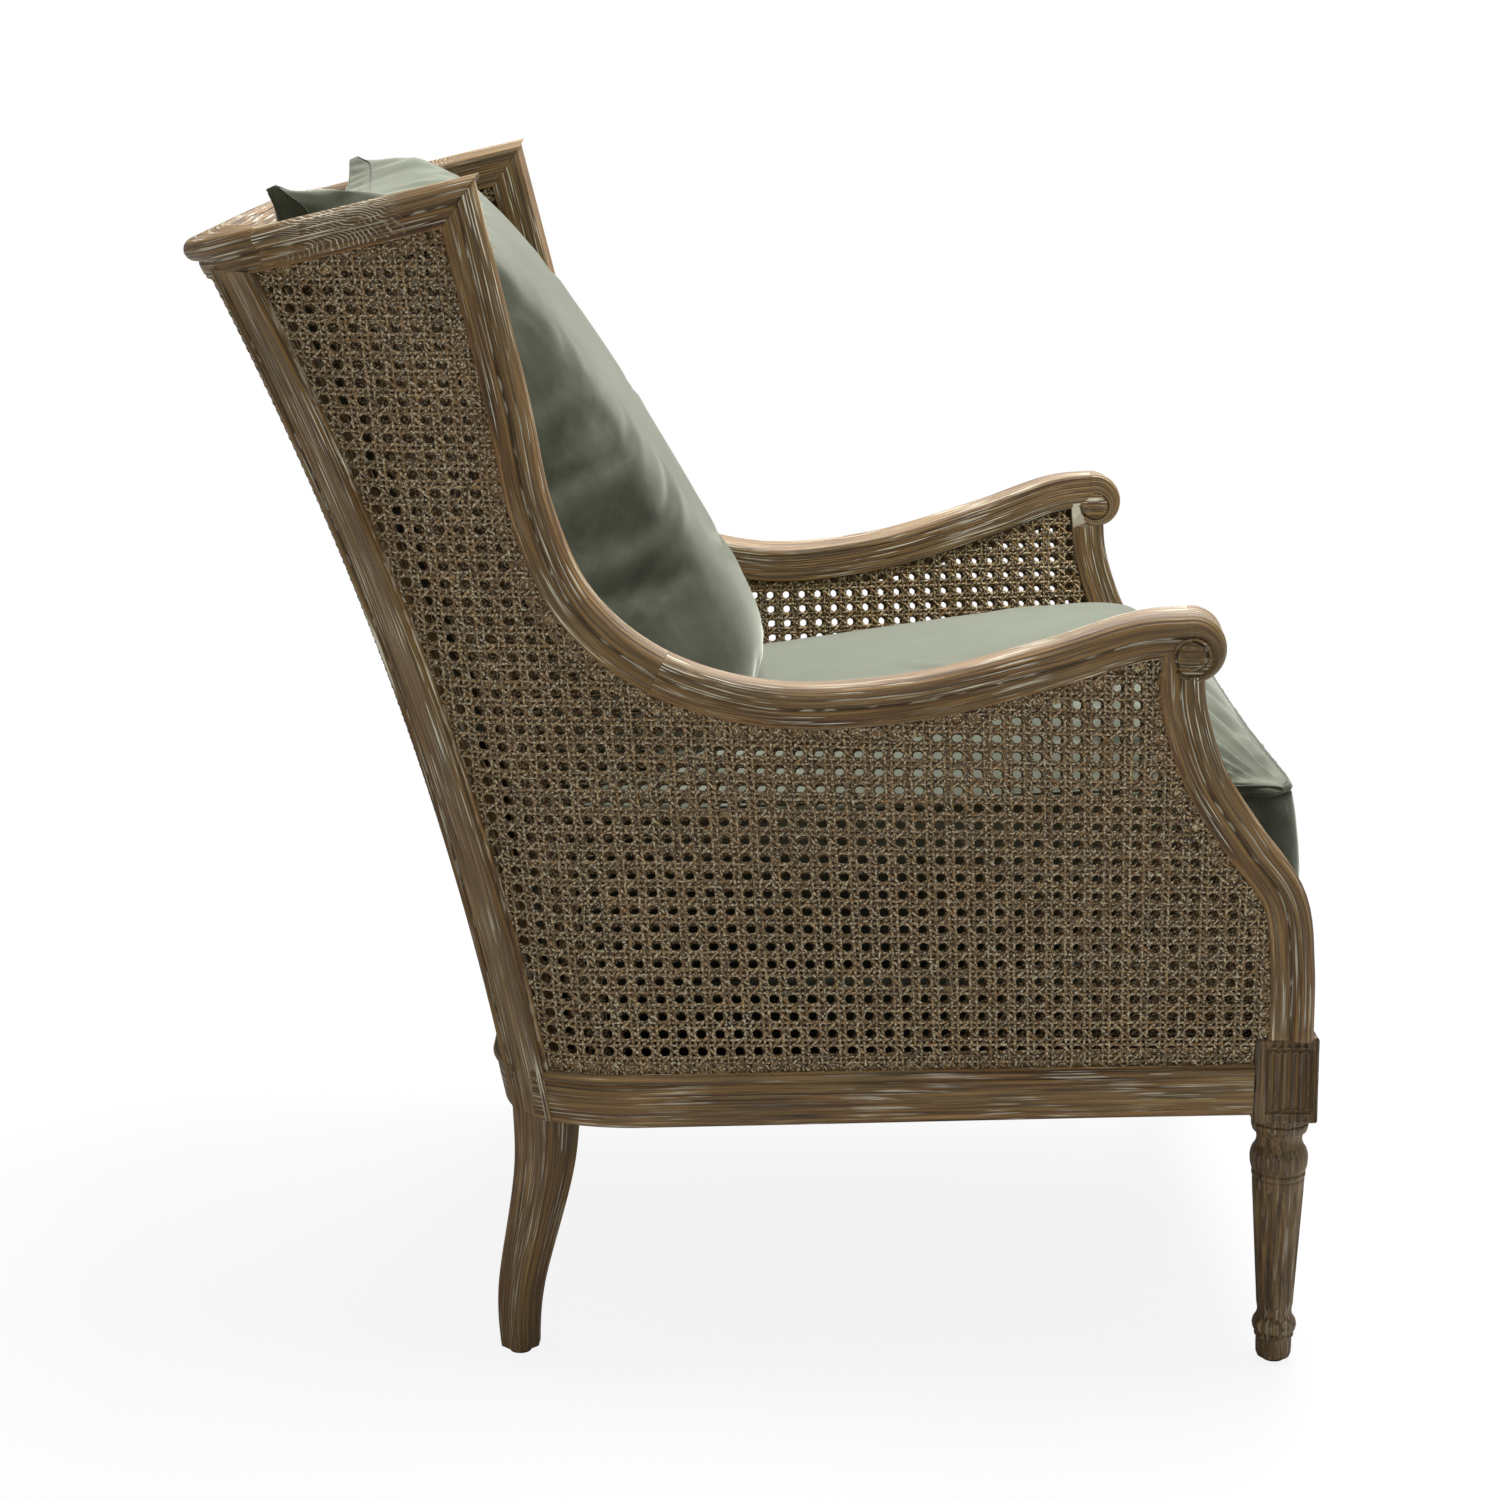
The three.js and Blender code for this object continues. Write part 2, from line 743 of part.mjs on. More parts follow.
// Section of the band at one rim radius: at full width it is the arm's own torus
function bandSection(rim) {
  const half = (rim - scroll_disc_radius) / 2;
  const rise = torus_proud - torus_radius;
  const section = [[scroll_disc_radius - 2 * rise, rise]];
  for (const angle of torus_angles) {
    const across = scroll_disc_radius + half + half * Math.cos(angle);
    section.push([across, rise + torus_radius * Math.sin(angle)]);
  }
  section.push([rim - rise, -torus_radius]);
  section.push([rim - rise, -member_depth + half / 2]);
  section.push([rim - half / 2, -member_depth]);
  section.push([scroll_disc_radius - 2 * rise, -member_depth]);
  return section;
}

function scrollBand(extra = 0) {
  const at = scrollPoints();
  const tangent = arm_line.getTangent(1);
  const start = Math.atan2(-tangent.z, -tangent.y);
  const rings = [];
  for (let i = 0; i <= scroll_band_steps; i += 1) {
    const turned = lerp(start, scroll_turn, i / scroll_band_steps);
    const open = scroll_quarter_share ** ((turned - start) / quarter_turn);
    const section = grown(bandSection(lerp(scroll_disc_radius, member_width, open)), extra);
    rings.push(section.map(([radius, out]) => at(turned, radius, out)));
  }
  return loft(rings, bandSection(member_width));
}

function discRings(levels) {
  const at = scrollPoints();
  const rings = levels.map(([radius, out]) => {
    const ring = [];
    for (let i = 0; i < scroll_disc_sides; i += 1) {
      ring.push(at((i / scroll_disc_sides) * 2 * Math.PI, radius, out));
    }
    return ring;
  });
  return loft(rings, rings[0].map((p) => [p.y, p.z]));
}

function scrollDisc() {
  const eye = scroll_eye_radius;
  const disc = scroll_disc_radius;
  const outer = scroll_eye_proud;
  const inner = -member_depth;
  return discRings([
    [eye / 2, inner - scroll_eye_crown], [eye, inner],
    [eye, inner + scroll_channel_depth], [disc, inner + scroll_channel_depth],
    [disc, outer - scroll_channel_depth], [eye, outer - scroll_channel_depth],
    [eye, outer - scroll_eye_crown], [eye / 2, outer],
  ]);
}

// A plain drum around the scroll's centre: it clears the arm's end and the support's head
function scrollBlank(extra) {
  const radius = scroll_disc_radius + extra;
  return discRings([[radius, -cut_overrun - member_depth], [radius, cut_overrun]]);
}

function armSweep(extra = 0) {
  const places = sidePlaces(arm_line, scarf_step / arm_steps, 1, arm_steps - scarf_step);
  const last = places.length - 1;
  const ends = [scarfPlane(fit_gap / 2 - extra), buttPlane(places, last, probe)];
  return sweep(places, grown(mouldedSection(), extra), 1, ends);
}

function armRail() {
  const arm = cutBy(armSweep(), [scrollBlank(-2 * probe)]);
  return joined([arm, scrollBand(), scrollDisc()]);
}

function armSupport() {
  const places = sidePlaces(support_line, 0, 1, support_steps);
  const foot = { point: vec(0, 0, block_top_z), normal: vec(0, 0, 1) };
  const body = sweep(places, mouldedSection(), 1, [buttPlane(places, 0, -support_tenon), foot]);
  return trimmedBy(body, [armSweep(fit_gap), scrollBand(fit_gap), scrollBlank(fit_gap)]);
}

// Seat rails

const rail_bead_width = 7;
const rail_step = 2;

function railSection(height, depth) {
  const ease = rail_bead_width / 4;
  const face = rail_proud - rail_step;
  return [
    [0, ease], [ease, rail_proud], [rail_bead_width, rail_proud],
    [rail_bead_width + rail_step, face], [height - 2 * ease, face], [height, rail_proud / 2],
    [height, -depth], [0, -depth],
  ];
}

const side_rail_steps = 7;

function sideRailPlaces() {
  const places = [];
  const front = chair_front_y + block_size + fit_gap;
  const low = cornerPoint(0, rail_top_z).y;
  places.push(onSide(front, railTopAt(front)));
  places.push(onSide((front + low) / 2, railTopAt((front + low) / 2)));
  for (let i = 0; i <= side_rail_steps; i += 1) {
    const heading = lerp(0, post_heading - post_half_turn / 2, i / side_rail_steps);
    const y = cornerPoint(heading, rail_top_z).y;
    places.push(onCorner(heading, railTopAt(y)));
  }
  return places;
}

function sideRail(extra = 0) {
  const places = sideRailPlaces();
  const front = { point: places[0].point, normal: vec(0, 1, 0) };
  const section = grown(railSection(rail_height, member_depth), extra);
  return sweep(places, section, 1, [front, null]);
}

const back_rail_steps = 6;

function backRailPlaces() {
  const half = [];
  for (let i = 0; i <= back_rail_steps; i += 1) {
    const heading = lerp(post_heading + post_half_turn / 2, quarter_turn, i / back_rail_steps);
    half.push(onCorner(heading, railTopAt(back_low_y)));
  }
  const last = half[half.length - 1].point;
  half.push(onBack(0, last.z));
  return [...half, ...half.slice(0, -1).reverse().map(flipPlace)];
}

function backRail(extra = 0) {
  const section = grown(railSection(rail_height, member_depth), extra);
  return sweep(backRailPlaces(), section, 1, [null, null]);
}

function frontRail() {
  const half = leg_centre.x - block_size / 2 - fit_gap;
  const y0 = chair_front_y + front_rail_setback;
  return box(
    -half, half, y0, y0 + front_rail_thickness, rail_top_z - rail_height - rail_proud, rail_top_z);
}

// Caned panels: thin shells between the beads, each on columns that follow the frame

// rows: columns of { outer, inner } points, all with the same count
function skin(rows) {
  const count = rows[0].length;
  const points = [];
  const faces = [];
  const at = (i, k, layer) => (i * count + k) * 2 + layer;
  for (const row of rows) {
    for (const cell of row) points.push(cell.outer, cell.inner);
  }
  const quad = (a, b, c, d) => {
    faces.push([a, b, c]);
    faces.push([a, c, d]);
  };
  const columns = rows.length;
  for (let i = 0; i < columns - 1; i += 1) {
    for (let k = 0; k < count - 1; k += 1) {
      quad(at(i, k, 0), at(i + 1, k, 0), at(i + 1, k + 1, 0), at(i, k + 1, 0));
      quad(at(i, k, 1), at(i, k + 1, 1), at(i + 1, k + 1, 1), at(i + 1, k, 1));
    }
    quad(at(i, 0, 0), at(i, 0, 1), at(i + 1, 0, 1), at(i + 1, 0, 0));
    const top = count - 1;
    quad(at(i, top, 0), at(i + 1, top, 0), at(i + 1, top, 1), at(i, top, 1));
  }
  for (let k = 0; k < count - 1; k += 1) {
    quad(at(0, k, 0), at(0, k + 1, 0), at(0, k + 1, 1), at(0, k, 1));
    const end = columns - 1;
    quad(at(end, k, 0), at(end, k, 1), at(end, k + 1, 1), at(end, k + 1, 0));
  }
  return solid(points, faces);
}

function layered(place, depth) {
  const outer = place.point.clone().addScaledVector(place.normal, -depth);
  const inner = outer.clone().addScaledVector(place.normal, -cane_thickness);
  return { outer, inner };
}

const side_rows = 4;

const side_step_y = chair_front_y + block_size + edge_gap;

// Lower edge of the side panel: block top, rail top, then the bead of the back post
function sideBottomZ(y) {
  if (y <= side_step_y) return block_top_z + edge_gap;
  const rail = railTopAt(y) + edge_gap;
  return bisect(rail, back_top_z, (z) => cornerPoint(tucked_front_heading, z).y < y);
}

// Upper edge: the support's bead, the arm's bead, the wing's bead, then the top rail's
function beadZ(curve, steps, y) {
  const points = curve.getPoints(steps);
  const next = Math.max(1, points.findIndex((p) => p.y <= y));
  const [a, b] = [points[next - 1], points[next]];
  return lerp(a.z, b.z, (y - a.y) / (b.y - a.y));
}

function sideTopZ(y) {
  const along = y - edge_gap;
  if (along < support_head_y) return beadZ(support_line, support_steps, along) - edge_gap;
  if (y < wing_mitre_y) return beadZ(arm_line, arm_steps, along) - edge_gap;
  return topLineZ(y) - 2 * edge_gap;
}

const wing_column_shares = [0, 0.25, 0.5, 0.75, 0.93];

function sideColumns() {
  const front = support_foot_y + 2 * edge_gap;
  const rear = bisect(wing_mitre_y, back_top_y, (y) => sideTopZ(y) > sideBottomZ(y));
  const head = support_head_y + 3 * edge_gap;
  const steps = [front, side_step_y, side_step_y + edge_gap, head];
  const arm = arm_line.getPoints(arm_steps).filter((p) => p.y > head);
  const rings = [...support_line.getPoints(support_steps), ...arm].map((p) => p.y + edge_gap);
  const free = rings.filter((y) => y > front && y < wing_mitre_y - edge_gap
    && steps.every((other) => Math.abs(y - other) > 2 * edge_gap));
  const wing = wing_column_shares.map((share) => lerp(wing_mitre_y, rear, share));
  return [...steps, ...free, ...wing].sort((a, b) => a - b);
}

function sidePanel(depth) {
  const rows = sideColumns().map((y) => {
    const low = sideBottomZ(y);
    const high = sideTopZ(y);
    const row = [];
    for (let k = 0; k <= side_rows; k += 1) {
      row.push(layered(onSide(y, lerp(low, high, k / side_rows)), depth));
    }
    return row;
  });
  return skin(rows);
}

const back_rows = 7;
const back_columns = 8;

function sideCane(depth) {
  return trimmedBy(sidePanel(depth), [backPost(fit_gap)]);
}

// Places on the back: half the columns stand on its flat middle, the rest on the corners
function backPlace(i, z) {
  const half = back_columns / 2;
  const step = Math.abs(i);
  const flat = cornerPoint(quarter_turn, z).x * Math.min(1, step / half);
  const bend = lerp(quarter_turn, tucked_rear_heading, Math.max(0, step - half) / half);
  const place = step <= half ? onBack(flat, z) : onCorner(bend, z);
  return i < 0 ? flipPlace(place) : place;
}

function backPanel(depth) {
  const rows = [];
  const low = railTopAt(back_low_y) + edge_gap;
  const high = settleZ((z) => cornerPoint(quarter_turn, z)) - edge_gap;
  for (let i = -back_columns; i <= back_columns; i += 1) {
    const row = [];
    for (let k = 0; k <= back_rows; k += 1) {
      row.push(layered(backPlace(i, lerp(low, high, k / back_rows)), depth));
    }
    rows.push(row);
  }
  return skin(rows);
}

function backCane(depth) {
  return trimmedBy(backPanel(depth), [backPost(fit_gap), mirrored(backPost(fit_gap))]);
}

// Seat: corner blocks, drop-in deck with webbing, pad and dust cover

function plate(outline, z0, z1) {
  const shape = new THREE.Shape(outline.map(([x, y]) => new THREE.Vector2(x, y)));
  const geometry = new THREE.ExtrudeGeometry(shape, { depth: z1 - z0, bevelEnabled: false });
  return geometry.translate(0, 0, z0);
}

const block_leg_length = 62;
const corner_block_height = 17;

function innerHalf(y, z) {
  return sideX(y, z) - member_depth - fit_gap;
}

function railInner(y) {
  return Math.min(innerHalf(y, rail_top_z - rail_height), innerHalf(y, rail_top_z));
}

const side_steps = 6;

// Points along the inside of a side, from front to rear
function sideRun(front, rear, half) {
  const run = [];
  for (let step = 0; step <= side_steps; step += 1) {
    const y = lerp(front, rear, step / side_steps);
    run.push([half(y), y]);
  }
  return run;
}

const seat_inner_front = chair_front_y + front_rail_setback + front_rail_thickness + fit_gap;
const block_rear_y = chair_front_y + block_size + fit_gap;
const block_inner_x = block_outer_x - block_size - fit_gap;
const corner_block_top = rail_top_z - rail_fall - deck_frame_height - deck_frame_drop - fit_gap;

function frontCornerBlock() {
  const leg_end = block_rear_y + block_leg_length;
  const outer = Math.min(railInner(block_rear_y), railInner(leg_end)) - fit_gap;
  const outline = [
    [outer, block_rear_y], [outer, leg_end],
    [block_inner_x - block_leg_length, seat_inner_front], [block_inner_x, seat_inner_front],
    [block_inner_x, block_rear_y],
  ];
  return plate(outline, corner_block_top - corner_block_height, corner_block_top);
}

function rearCornerBlock() {
  const leg = cornerPoint(post_heading, rail_top_z - rail_height);
  const reach = leg.x + leg.y - (sabre_top_size + fit_gap) * Math.SQRT2;
  const sideFace = innerHalf(leg.y - block_leg_length, rail_top_z);
  const backFace = backY(rail_top_z - rail_height) - member_depth;
  const outline = [
    [sideFace + rail_proud, reach - sideFace - rail_proud],
    [sideFace + rail_proud, reach - sideFace - block_leg_length],
    [reach - backFace - block_leg_length, backFace + rail_proud],
    [reach - backFace - rail_proud, backFace + rail_proud],
  ];
  const bar = plate(outline, corner_block_top - corner_block_height, corner_block_top);
  const rails = [sideRail(fit_gap), backRail(fit_gap), mirrored(backRail(fit_gap))];
  return trimmedBy(bar, [...rails, backPost(fit_gap)]);
}

// Plan outline inside the seat rails, with the front blocks notched out
const deck_clearance = 1;

function deckOutline(inset) {
  const front = seat_inner_front + inset;
  const notch = block_rear_y + inset;
  const z = rail_top_z - rail_height;
  const rear = backY(z) - member_depth - inset - 2 * deck_clearance;
  const corner = cornerPoint(0, rail_top_z).y - inset;
  const tail = cornerPoint(rear_bead_heading, z).x - member_depth - inset;
  const half = [
    [block_inner_x - inset, front], [block_inner_x - inset, notch],
    ...sideRun(notch, corner, (y) => railInner(y) - inset - deck_clearance),
    [tail, rear],
  ];
  return [...half, ...half.map(([x, y]) => [-x, y]).reverse()];
}

function deckFrame() {
  const top = rail_top_z - rail_fall - deck_frame_drop;
  const ring = plate(deckOutline(0), top - deck_frame_height, top);
  const hole = plate(
    deckOutline(deck_frame_width), top - deck_frame_height - cut_overrun, top + cut_overrun);
  return cutBy(ring, [hole]);
}

const deck_top = rail_top_z - rail_fall - deck_frame_drop;
const strap_inset = 8;
const strap_middle_share = 0.5;
const strap_outline = deckOutline(strap_inset);

const strap_low_z = deck_top + fit_gap;
const cross_strap_low_z = strap_low_z + strap_thickness + fit_gap;

// Straps from front to rear, then straps across on top of them
function longStrap(i) {
  const front = strap_outline[0][1];
  const [reach, rear] = strap_outline[strap_outline.length / 2 - 1];
  const x = lerp(-reach, reach, (i + strap_middle_share) / strap_count_lengthwise);
  const half = strap_width / 2;
  return box(x - half, x + half, front, rear, strap_low_z, strap_low_z + strap_thickness);
}

function crossStrap(i) {
  const share = (i + strap_middle_share) / strap_count_across;
  const y = lerp(block_rear_y + strap_inset, cornerPoint(0, rail_top_z).y, share);
  const half = strap_width / 2;
  const room = Math.min(railInner(y - half), railInner(y + half));
  const side = room - strap_inset - deck_clearance;
  const top = cross_strap_low_z + strap_thickness;
  return box(-side, side, y - half, y + half, cross_strap_low_z, top);
}

const deck_reach = seat_rear_y - seat_front_y;
const deck_rake = Math.atan((deck_front_z - deck_rear_z) / deck_reach);

function deckTopZ(y) {
  return lerp(deck_front_z, deck_rear_z, (y - seat_front_y) / deck_reach);
}

// A six-sided soft body: place maps shares across, along and up to a point
function softBody(across, along, up, place) {
  const points = [];
  const index = new Map();
  const faces = [];
  const at = (i, j, k) => {
    const key = `${i},${j},${k}`;
    if (!index.has(key)) {
      index.set(key, points.length);
      points.push(place(2 * (i / across) - 1, j / along, k / up));
    }
    return index.get(key);
  };
  const quad = (a, b, c, d) => {
    faces.push([a, b, c]);
    faces.push([a, c, d]);
  };
  for (let i = 0; i < across; i += 1) {
    for (let j = 0; j < along; j += 1) {
      quad(at(i, j, up), at(i + 1, j, up), at(i + 1, j + 1, up), at(i, j + 1, up));
      quad(at(i, j, 0), at(i, j + 1, 0), at(i + 1, j + 1, 0), at(i + 1, j, 0));
    }
    for (let k = 0; k < up; k += 1) {
      quad(at(i, 0, k), at(i + 1, 0, k), at(i + 1, 0, k + 1), at(i, 0, k + 1));
      quad(at(i, along, k), at(i, along, k + 1), at(i + 1, along, k + 1), at(i + 1, along, k));
    }
  }
  for (let j = 0; j < along; j += 1) {
    for (let k = 0; k < up; k += 1) {
      quad(at(0, j, k), at(0, j, k + 1), at(0, j + 1, k + 1), at(0, j + 1, k));
      quad(at(across, j, k), at(across, j + 1, k), at(across, j + 1, k + 1), at(across, j, k + 1));
    }
  }
  return solid(points, faces);
}

const pad_clearance = 3;
const pad_setback = 8;
const pad_front_y = chair_front_y + front_rail_setback + pad_setback;
const pad_low_z = cross_strap_low_z + strap_thickness + fit_gap;

function deckPad() {
  const padHalf = (y) => Math.min(innerHalf(y, rail_top_z), innerHalf(y, deck_front_z));
  const corner = cornerPoint(0, rail_top_z).y;
  const rear = backY(rail_top_z) - member_depth - 2 * pad_clearance;
  const tail = cornerPoint(rear_bead_heading, rail_top_z).x - member_depth - pad_clearance;
  const nose = block_inner_x - pad_clearance;
  const half = [
    [nose, pad_front_y], [nose, block_rear_y],
    ...sideRun(block_rear_y, corner, (y) => padHalf(y) - pad_clearance),
    [tail, rear],
  ];
  const outline = [...half, ...half.map(([x, y]) => [-x, y]).reverse()];
  const low = outline.map(([x, y]) => vec(x, y, rail_top_z + fit_gap));
  const high = outline.map(([x, y]) => vec(x, y, deckTopZ(y) - fit_gap));
  const sunk = plate(deckOutline(strap_inset), pad_low_z, rail_top_z + 2 * fit_gap);
  return joined([loft([low, high], outline), sunk]);
}

function dustCover() {
  const z = corner_block_top - corner_block_height - fit_gap;
  return plate(deckOutline(0), z - dust_cover_thickness, z);
}

// Cushions

const seat_corner_start_share = 0.8;
const drawn_in_share = 0.022;
const front_drawn_share = 0.011;
const boxing_swell = 5;
const swell_power = 9;
const seat_cells = { across: 14, along: 14, up: 3 };

function domed(t, power) {
  return 1 - Math.abs(t) ** power;
}

function seatHalfWidth(v) {
  const drawn = 1 - drawn_in_share * domed(2 * v - 1, 2);
  const t = Math.max(0, (v - seat_corner_start_share) / (1 - seat_corner_start_share));
  const full = lerp(seat_half_front, seat_half_rear, v);
  return (full - seat_corner_draw * (1 - Math.sqrt(1 - t * t))) * drawn;
}

// Shape of the crown: full towards the front, where the filling is pushed
const crown_front_share = 0.36;
const crown_front_power = 2.2;
const crown_rear_power = 1.4;
const crown_side_power = 2.6;
const crown_side_softness = 0.8;

function crownAlong(v) {
  if (v < crown_front_share) return domed(1 - v / crown_front_share, crown_front_power);
  return domed((v - crown_front_share) / (1 - crown_front_share), crown_rear_power);
}

// Height of the cushion's top above the deck, at shares across and along
function seatTop(u, v) {
  const across = domed(u, crown_side_power) ** crown_side_softness;
  return seat_boxing + seat_crown * across * crownAlong(v);
}

function seatPoint(u, v, w) {
  const swell = boxing_swell * Math.sin(Math.PI * w);
  const half = seatHalfWidth(v) + swell * Math.abs(u) ** swell_power;
  const drawn = front_drawn_share * deck_reach * domed(u, 2);
  const ends = swell * (2 * v - 1) ** swell_power;
  const y = lerp(seat_front_y + boxing_swell + drawn, seat_rear_y - boxing_swell, v) + ends;
  return vec(u * half, y - seat_front_y, w * seatTop(u, v));
}

function seatCushion() {
  return softBody(seat_cells.across, seat_cells.along, seat_cells.up, seatPoint);
}

// Leaning plane of the back cushion: tangent to the inner cane at its bearing height
const bearing_z = 700;
const bearing_slope = (backY(bearing_z + probe) - backY(bearing_z - probe)) / (2 * probe);
const back_rake = Math.atan(bearing_slope);
const bearing_y = backY(bearing_z) - (member_depth + 2 * fit_gap) / Math.cos(back_rake);
const back_cushion_low_z = 500;
const settling_steps = 8;

// Height of a point over the top of the seat cushion, square to the deck
function aboveSeat(point) {
  const local = point.clone().sub(vec(0, seat_front_y, deck_front_z));
  local.applyAxisAngle(vec(1, 0, 0), deck_rake);
  const v = THREE.MathUtils.clamp(local.y / deck_reach, 0, 1);
  const u = THREE.MathUtils.clamp(local.x / seatHalfWidth(v), -1, 1);
  return local.z - seatTop(u, v);
}

const top_sag = 42;
const top_sag_power = 3;
const rear_flat_power = 7;
const front_seam_low = 150;
const front_seam_high = 62;
const rear_seam_low = 66;
const rear_seam_high = 46;
const fullest_share = 0.3;
const crown_at_foot_share = 0.54;
const crown_at_head_share = 0.5;
const crown_foot_power = 2;
const crown_head_power = 3;
const back_side_power_low = 2.4;
const back_side_power_high = 6;
const back_side_softness = 0.75;
const sag_rise_power = 6;
const settle_power = 2;
const back_cells = { across: 12, along: 4, up: 12 };

// Feather filling settles, so the front is fullest below its middle
function frontCrown(u, w) {
  const below = Math.max(0, (fullest_share - w) / fullest_share);
  const above = Math.max(0, (w - fullest_share) / (1 - fullest_share));
  const foot = (1 - crown_at_foot_share) * below ** crown_foot_power;
  const head = (1 - crown_at_head_share) * above ** crown_head_power;
  const power = lerp(back_side_power_low, back_side_power_high, above);
  return domed(u, power) ** back_side_softness * (1 - foot - head);
}

// v runs from the front face to the rear, w from bottom to top
function backPointAt(u, v, w) {
  const up = vec(0, Math.sin(back_rake), Math.cos(back_rake));
  const forward = vec(0, -Math.cos(back_rake), Math.sin(back_rake));
  const drop = bearing_z - back_cushion_low_z;
  const origin = vec(0, bearing_y - bearing_slope * drop, back_cushion_low_z);
  const front = lerp(front_seam_low, front_seam_high, w) + back_cushion_crown * frontCrown(u, w);
  const flattened = domed(u, rear_flat_power) * domed(2 * w - 1, rear_flat_power);
  const rear = lerp(rear_seam_low, rear_seam_high, w) * (1 - flattened);
  const drawn = 1 - drawn_in_share * domed(2 * w - 1, 2);
  const sag = top_sag * domed(u, top_sag_power) * w ** sag_rise_power;
  const height = w * back_cushion_height - sag;
  const point = origin.clone()
    .addScaledVector(up, height).addScaledVector(forward, lerp(front, rear, v));
  point.x = u * back_cushion_half_width * drawn;
  // The foot settles along the rake until it rests on the seat cushion
  const foot = point.clone();
  for (let step = 0; step < settling_steps; step += 1) {
    foot.addScaledVector(up, (fit_gap - aboveSeat(foot)) / up.z);
  }
  const lift = foot.sub(point).dot(up);
  return point.addScaledVector(up, Math.max(lift, lift * (1 - w) ** settle_power));
}

function backCushion() {
  return softBody(back_cells.across, back_cells.along, back_cells.up, backPointAt);
}

// Glides

const glide_sides = 16;

function glide(x, y) {
  const geometry = new THREE.CylinderGeometry(glide_radius, glide_radius, glide_height, glide_sides);
  return geometry.rotateX(quarter_turn).translate(x, y, glide_height / 2);
}

// Assembly

pair('front_leg', frontLeg(), wood);
pair('front_glide', glide(leg_centre.x, leg_centre.y), nylon);
pair('back_post', trimmedBy(backPost(), [crestRail(fit_gap)]), wood);
const sabre_foot = postRing(sabreCentre(glide_height), [[0, -sabre_foot_size / 2]], 0)[0];
pair('back_glide', glide(sabre_foot.x, sabre_foot.y), nylon);
pair('side_rail', trimmedBy(sideRail(), [backPost(fit_gap)]), wood);
piece('back_rail', trimmedBy(backRail(), [backPost(fit_gap), mirrored(backPost(fit_gap))]), wood);
piece('front_rail', frontRail(), wood);
pair('arm_support', armSupport(), wood);
pair('arm_rail', armRail(), wood);
pair('wing_upright', wingUpright(), wood);
pair('wing_top_rail', wingTopRail(), wood);
piece('crest_rail', crestRail(), wood);
pair('outer_side_cane', sideCane(0), cane);
pair('inner_side_cane', sideCane(cane_layer_spacing), cane);
piece('outer_back_cane', backCane(0), cane);
piece('inner_back_cane', backCane(cane_layer_spacing), cane);
pair('front_corner_block', frontCornerBlock(), wood);
pair('rear_corner_block', rearCornerBlock(), wood);
piece('deck_frame', deckFrame(), wood);
for (let i = 0; i < strap_count_lengthwise; i += 1) piece(`long_strap_${i + 1}`, longStrap(i), jute);
for (let i = 0; i < strap_count_across; i += 1) piece(`cross_strap_${i + 1}`, crossStrap(i), jute);
piece('deck_pad', deckPad(), velvet);
piece('dust_cover', dustCover(), lining);

const seat = new THREE.Mesh(seatCushion(), new THREE.MeshStandardMaterial(velvet));
seat.name = 'seat_cushion';
seat.position.set(0, seat_front_y, deck_front_z);
seat.rotation.x = -deck_rake;
chair.add(seat);
piece('back_cushion', backCushion(), velvet);

// The origin sits under the middle of the whole chair
const extent = new THREE.Box3().setFromObject(chair, true);
chair.position.y = -(extent.min.y + extent.max.y) / 2;

export default chair;
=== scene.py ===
import json
import math

import bpy
import numpy as np
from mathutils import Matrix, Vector
from mathutils.kdtree import KDTree

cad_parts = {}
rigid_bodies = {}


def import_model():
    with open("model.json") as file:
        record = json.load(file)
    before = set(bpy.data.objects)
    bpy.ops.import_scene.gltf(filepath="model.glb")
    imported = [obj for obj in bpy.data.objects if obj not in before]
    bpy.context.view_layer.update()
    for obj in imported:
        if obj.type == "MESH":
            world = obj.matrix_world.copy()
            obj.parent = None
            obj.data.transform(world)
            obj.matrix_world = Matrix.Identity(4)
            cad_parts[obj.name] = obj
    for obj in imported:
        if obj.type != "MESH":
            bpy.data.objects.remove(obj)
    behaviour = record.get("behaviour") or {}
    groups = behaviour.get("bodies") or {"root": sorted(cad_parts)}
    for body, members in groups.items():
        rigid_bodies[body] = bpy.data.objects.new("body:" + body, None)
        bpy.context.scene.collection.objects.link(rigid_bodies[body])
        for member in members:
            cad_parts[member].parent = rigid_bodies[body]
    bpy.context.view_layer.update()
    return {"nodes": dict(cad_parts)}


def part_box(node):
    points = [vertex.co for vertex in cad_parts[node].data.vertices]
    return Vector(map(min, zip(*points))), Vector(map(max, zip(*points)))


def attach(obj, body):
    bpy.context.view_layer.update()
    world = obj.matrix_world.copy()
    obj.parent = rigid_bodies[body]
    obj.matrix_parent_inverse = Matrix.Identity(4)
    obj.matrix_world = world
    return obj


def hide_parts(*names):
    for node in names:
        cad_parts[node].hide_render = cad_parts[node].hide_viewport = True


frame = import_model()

# A wing bergere dressed over its CAD frame. Shapes are worked out in millimetres, in the frame
# of the part's source, and placed in metres.
MM = 0.001
QUARTER = math.pi / 2
HALVINGS = 40
SHARP = 38

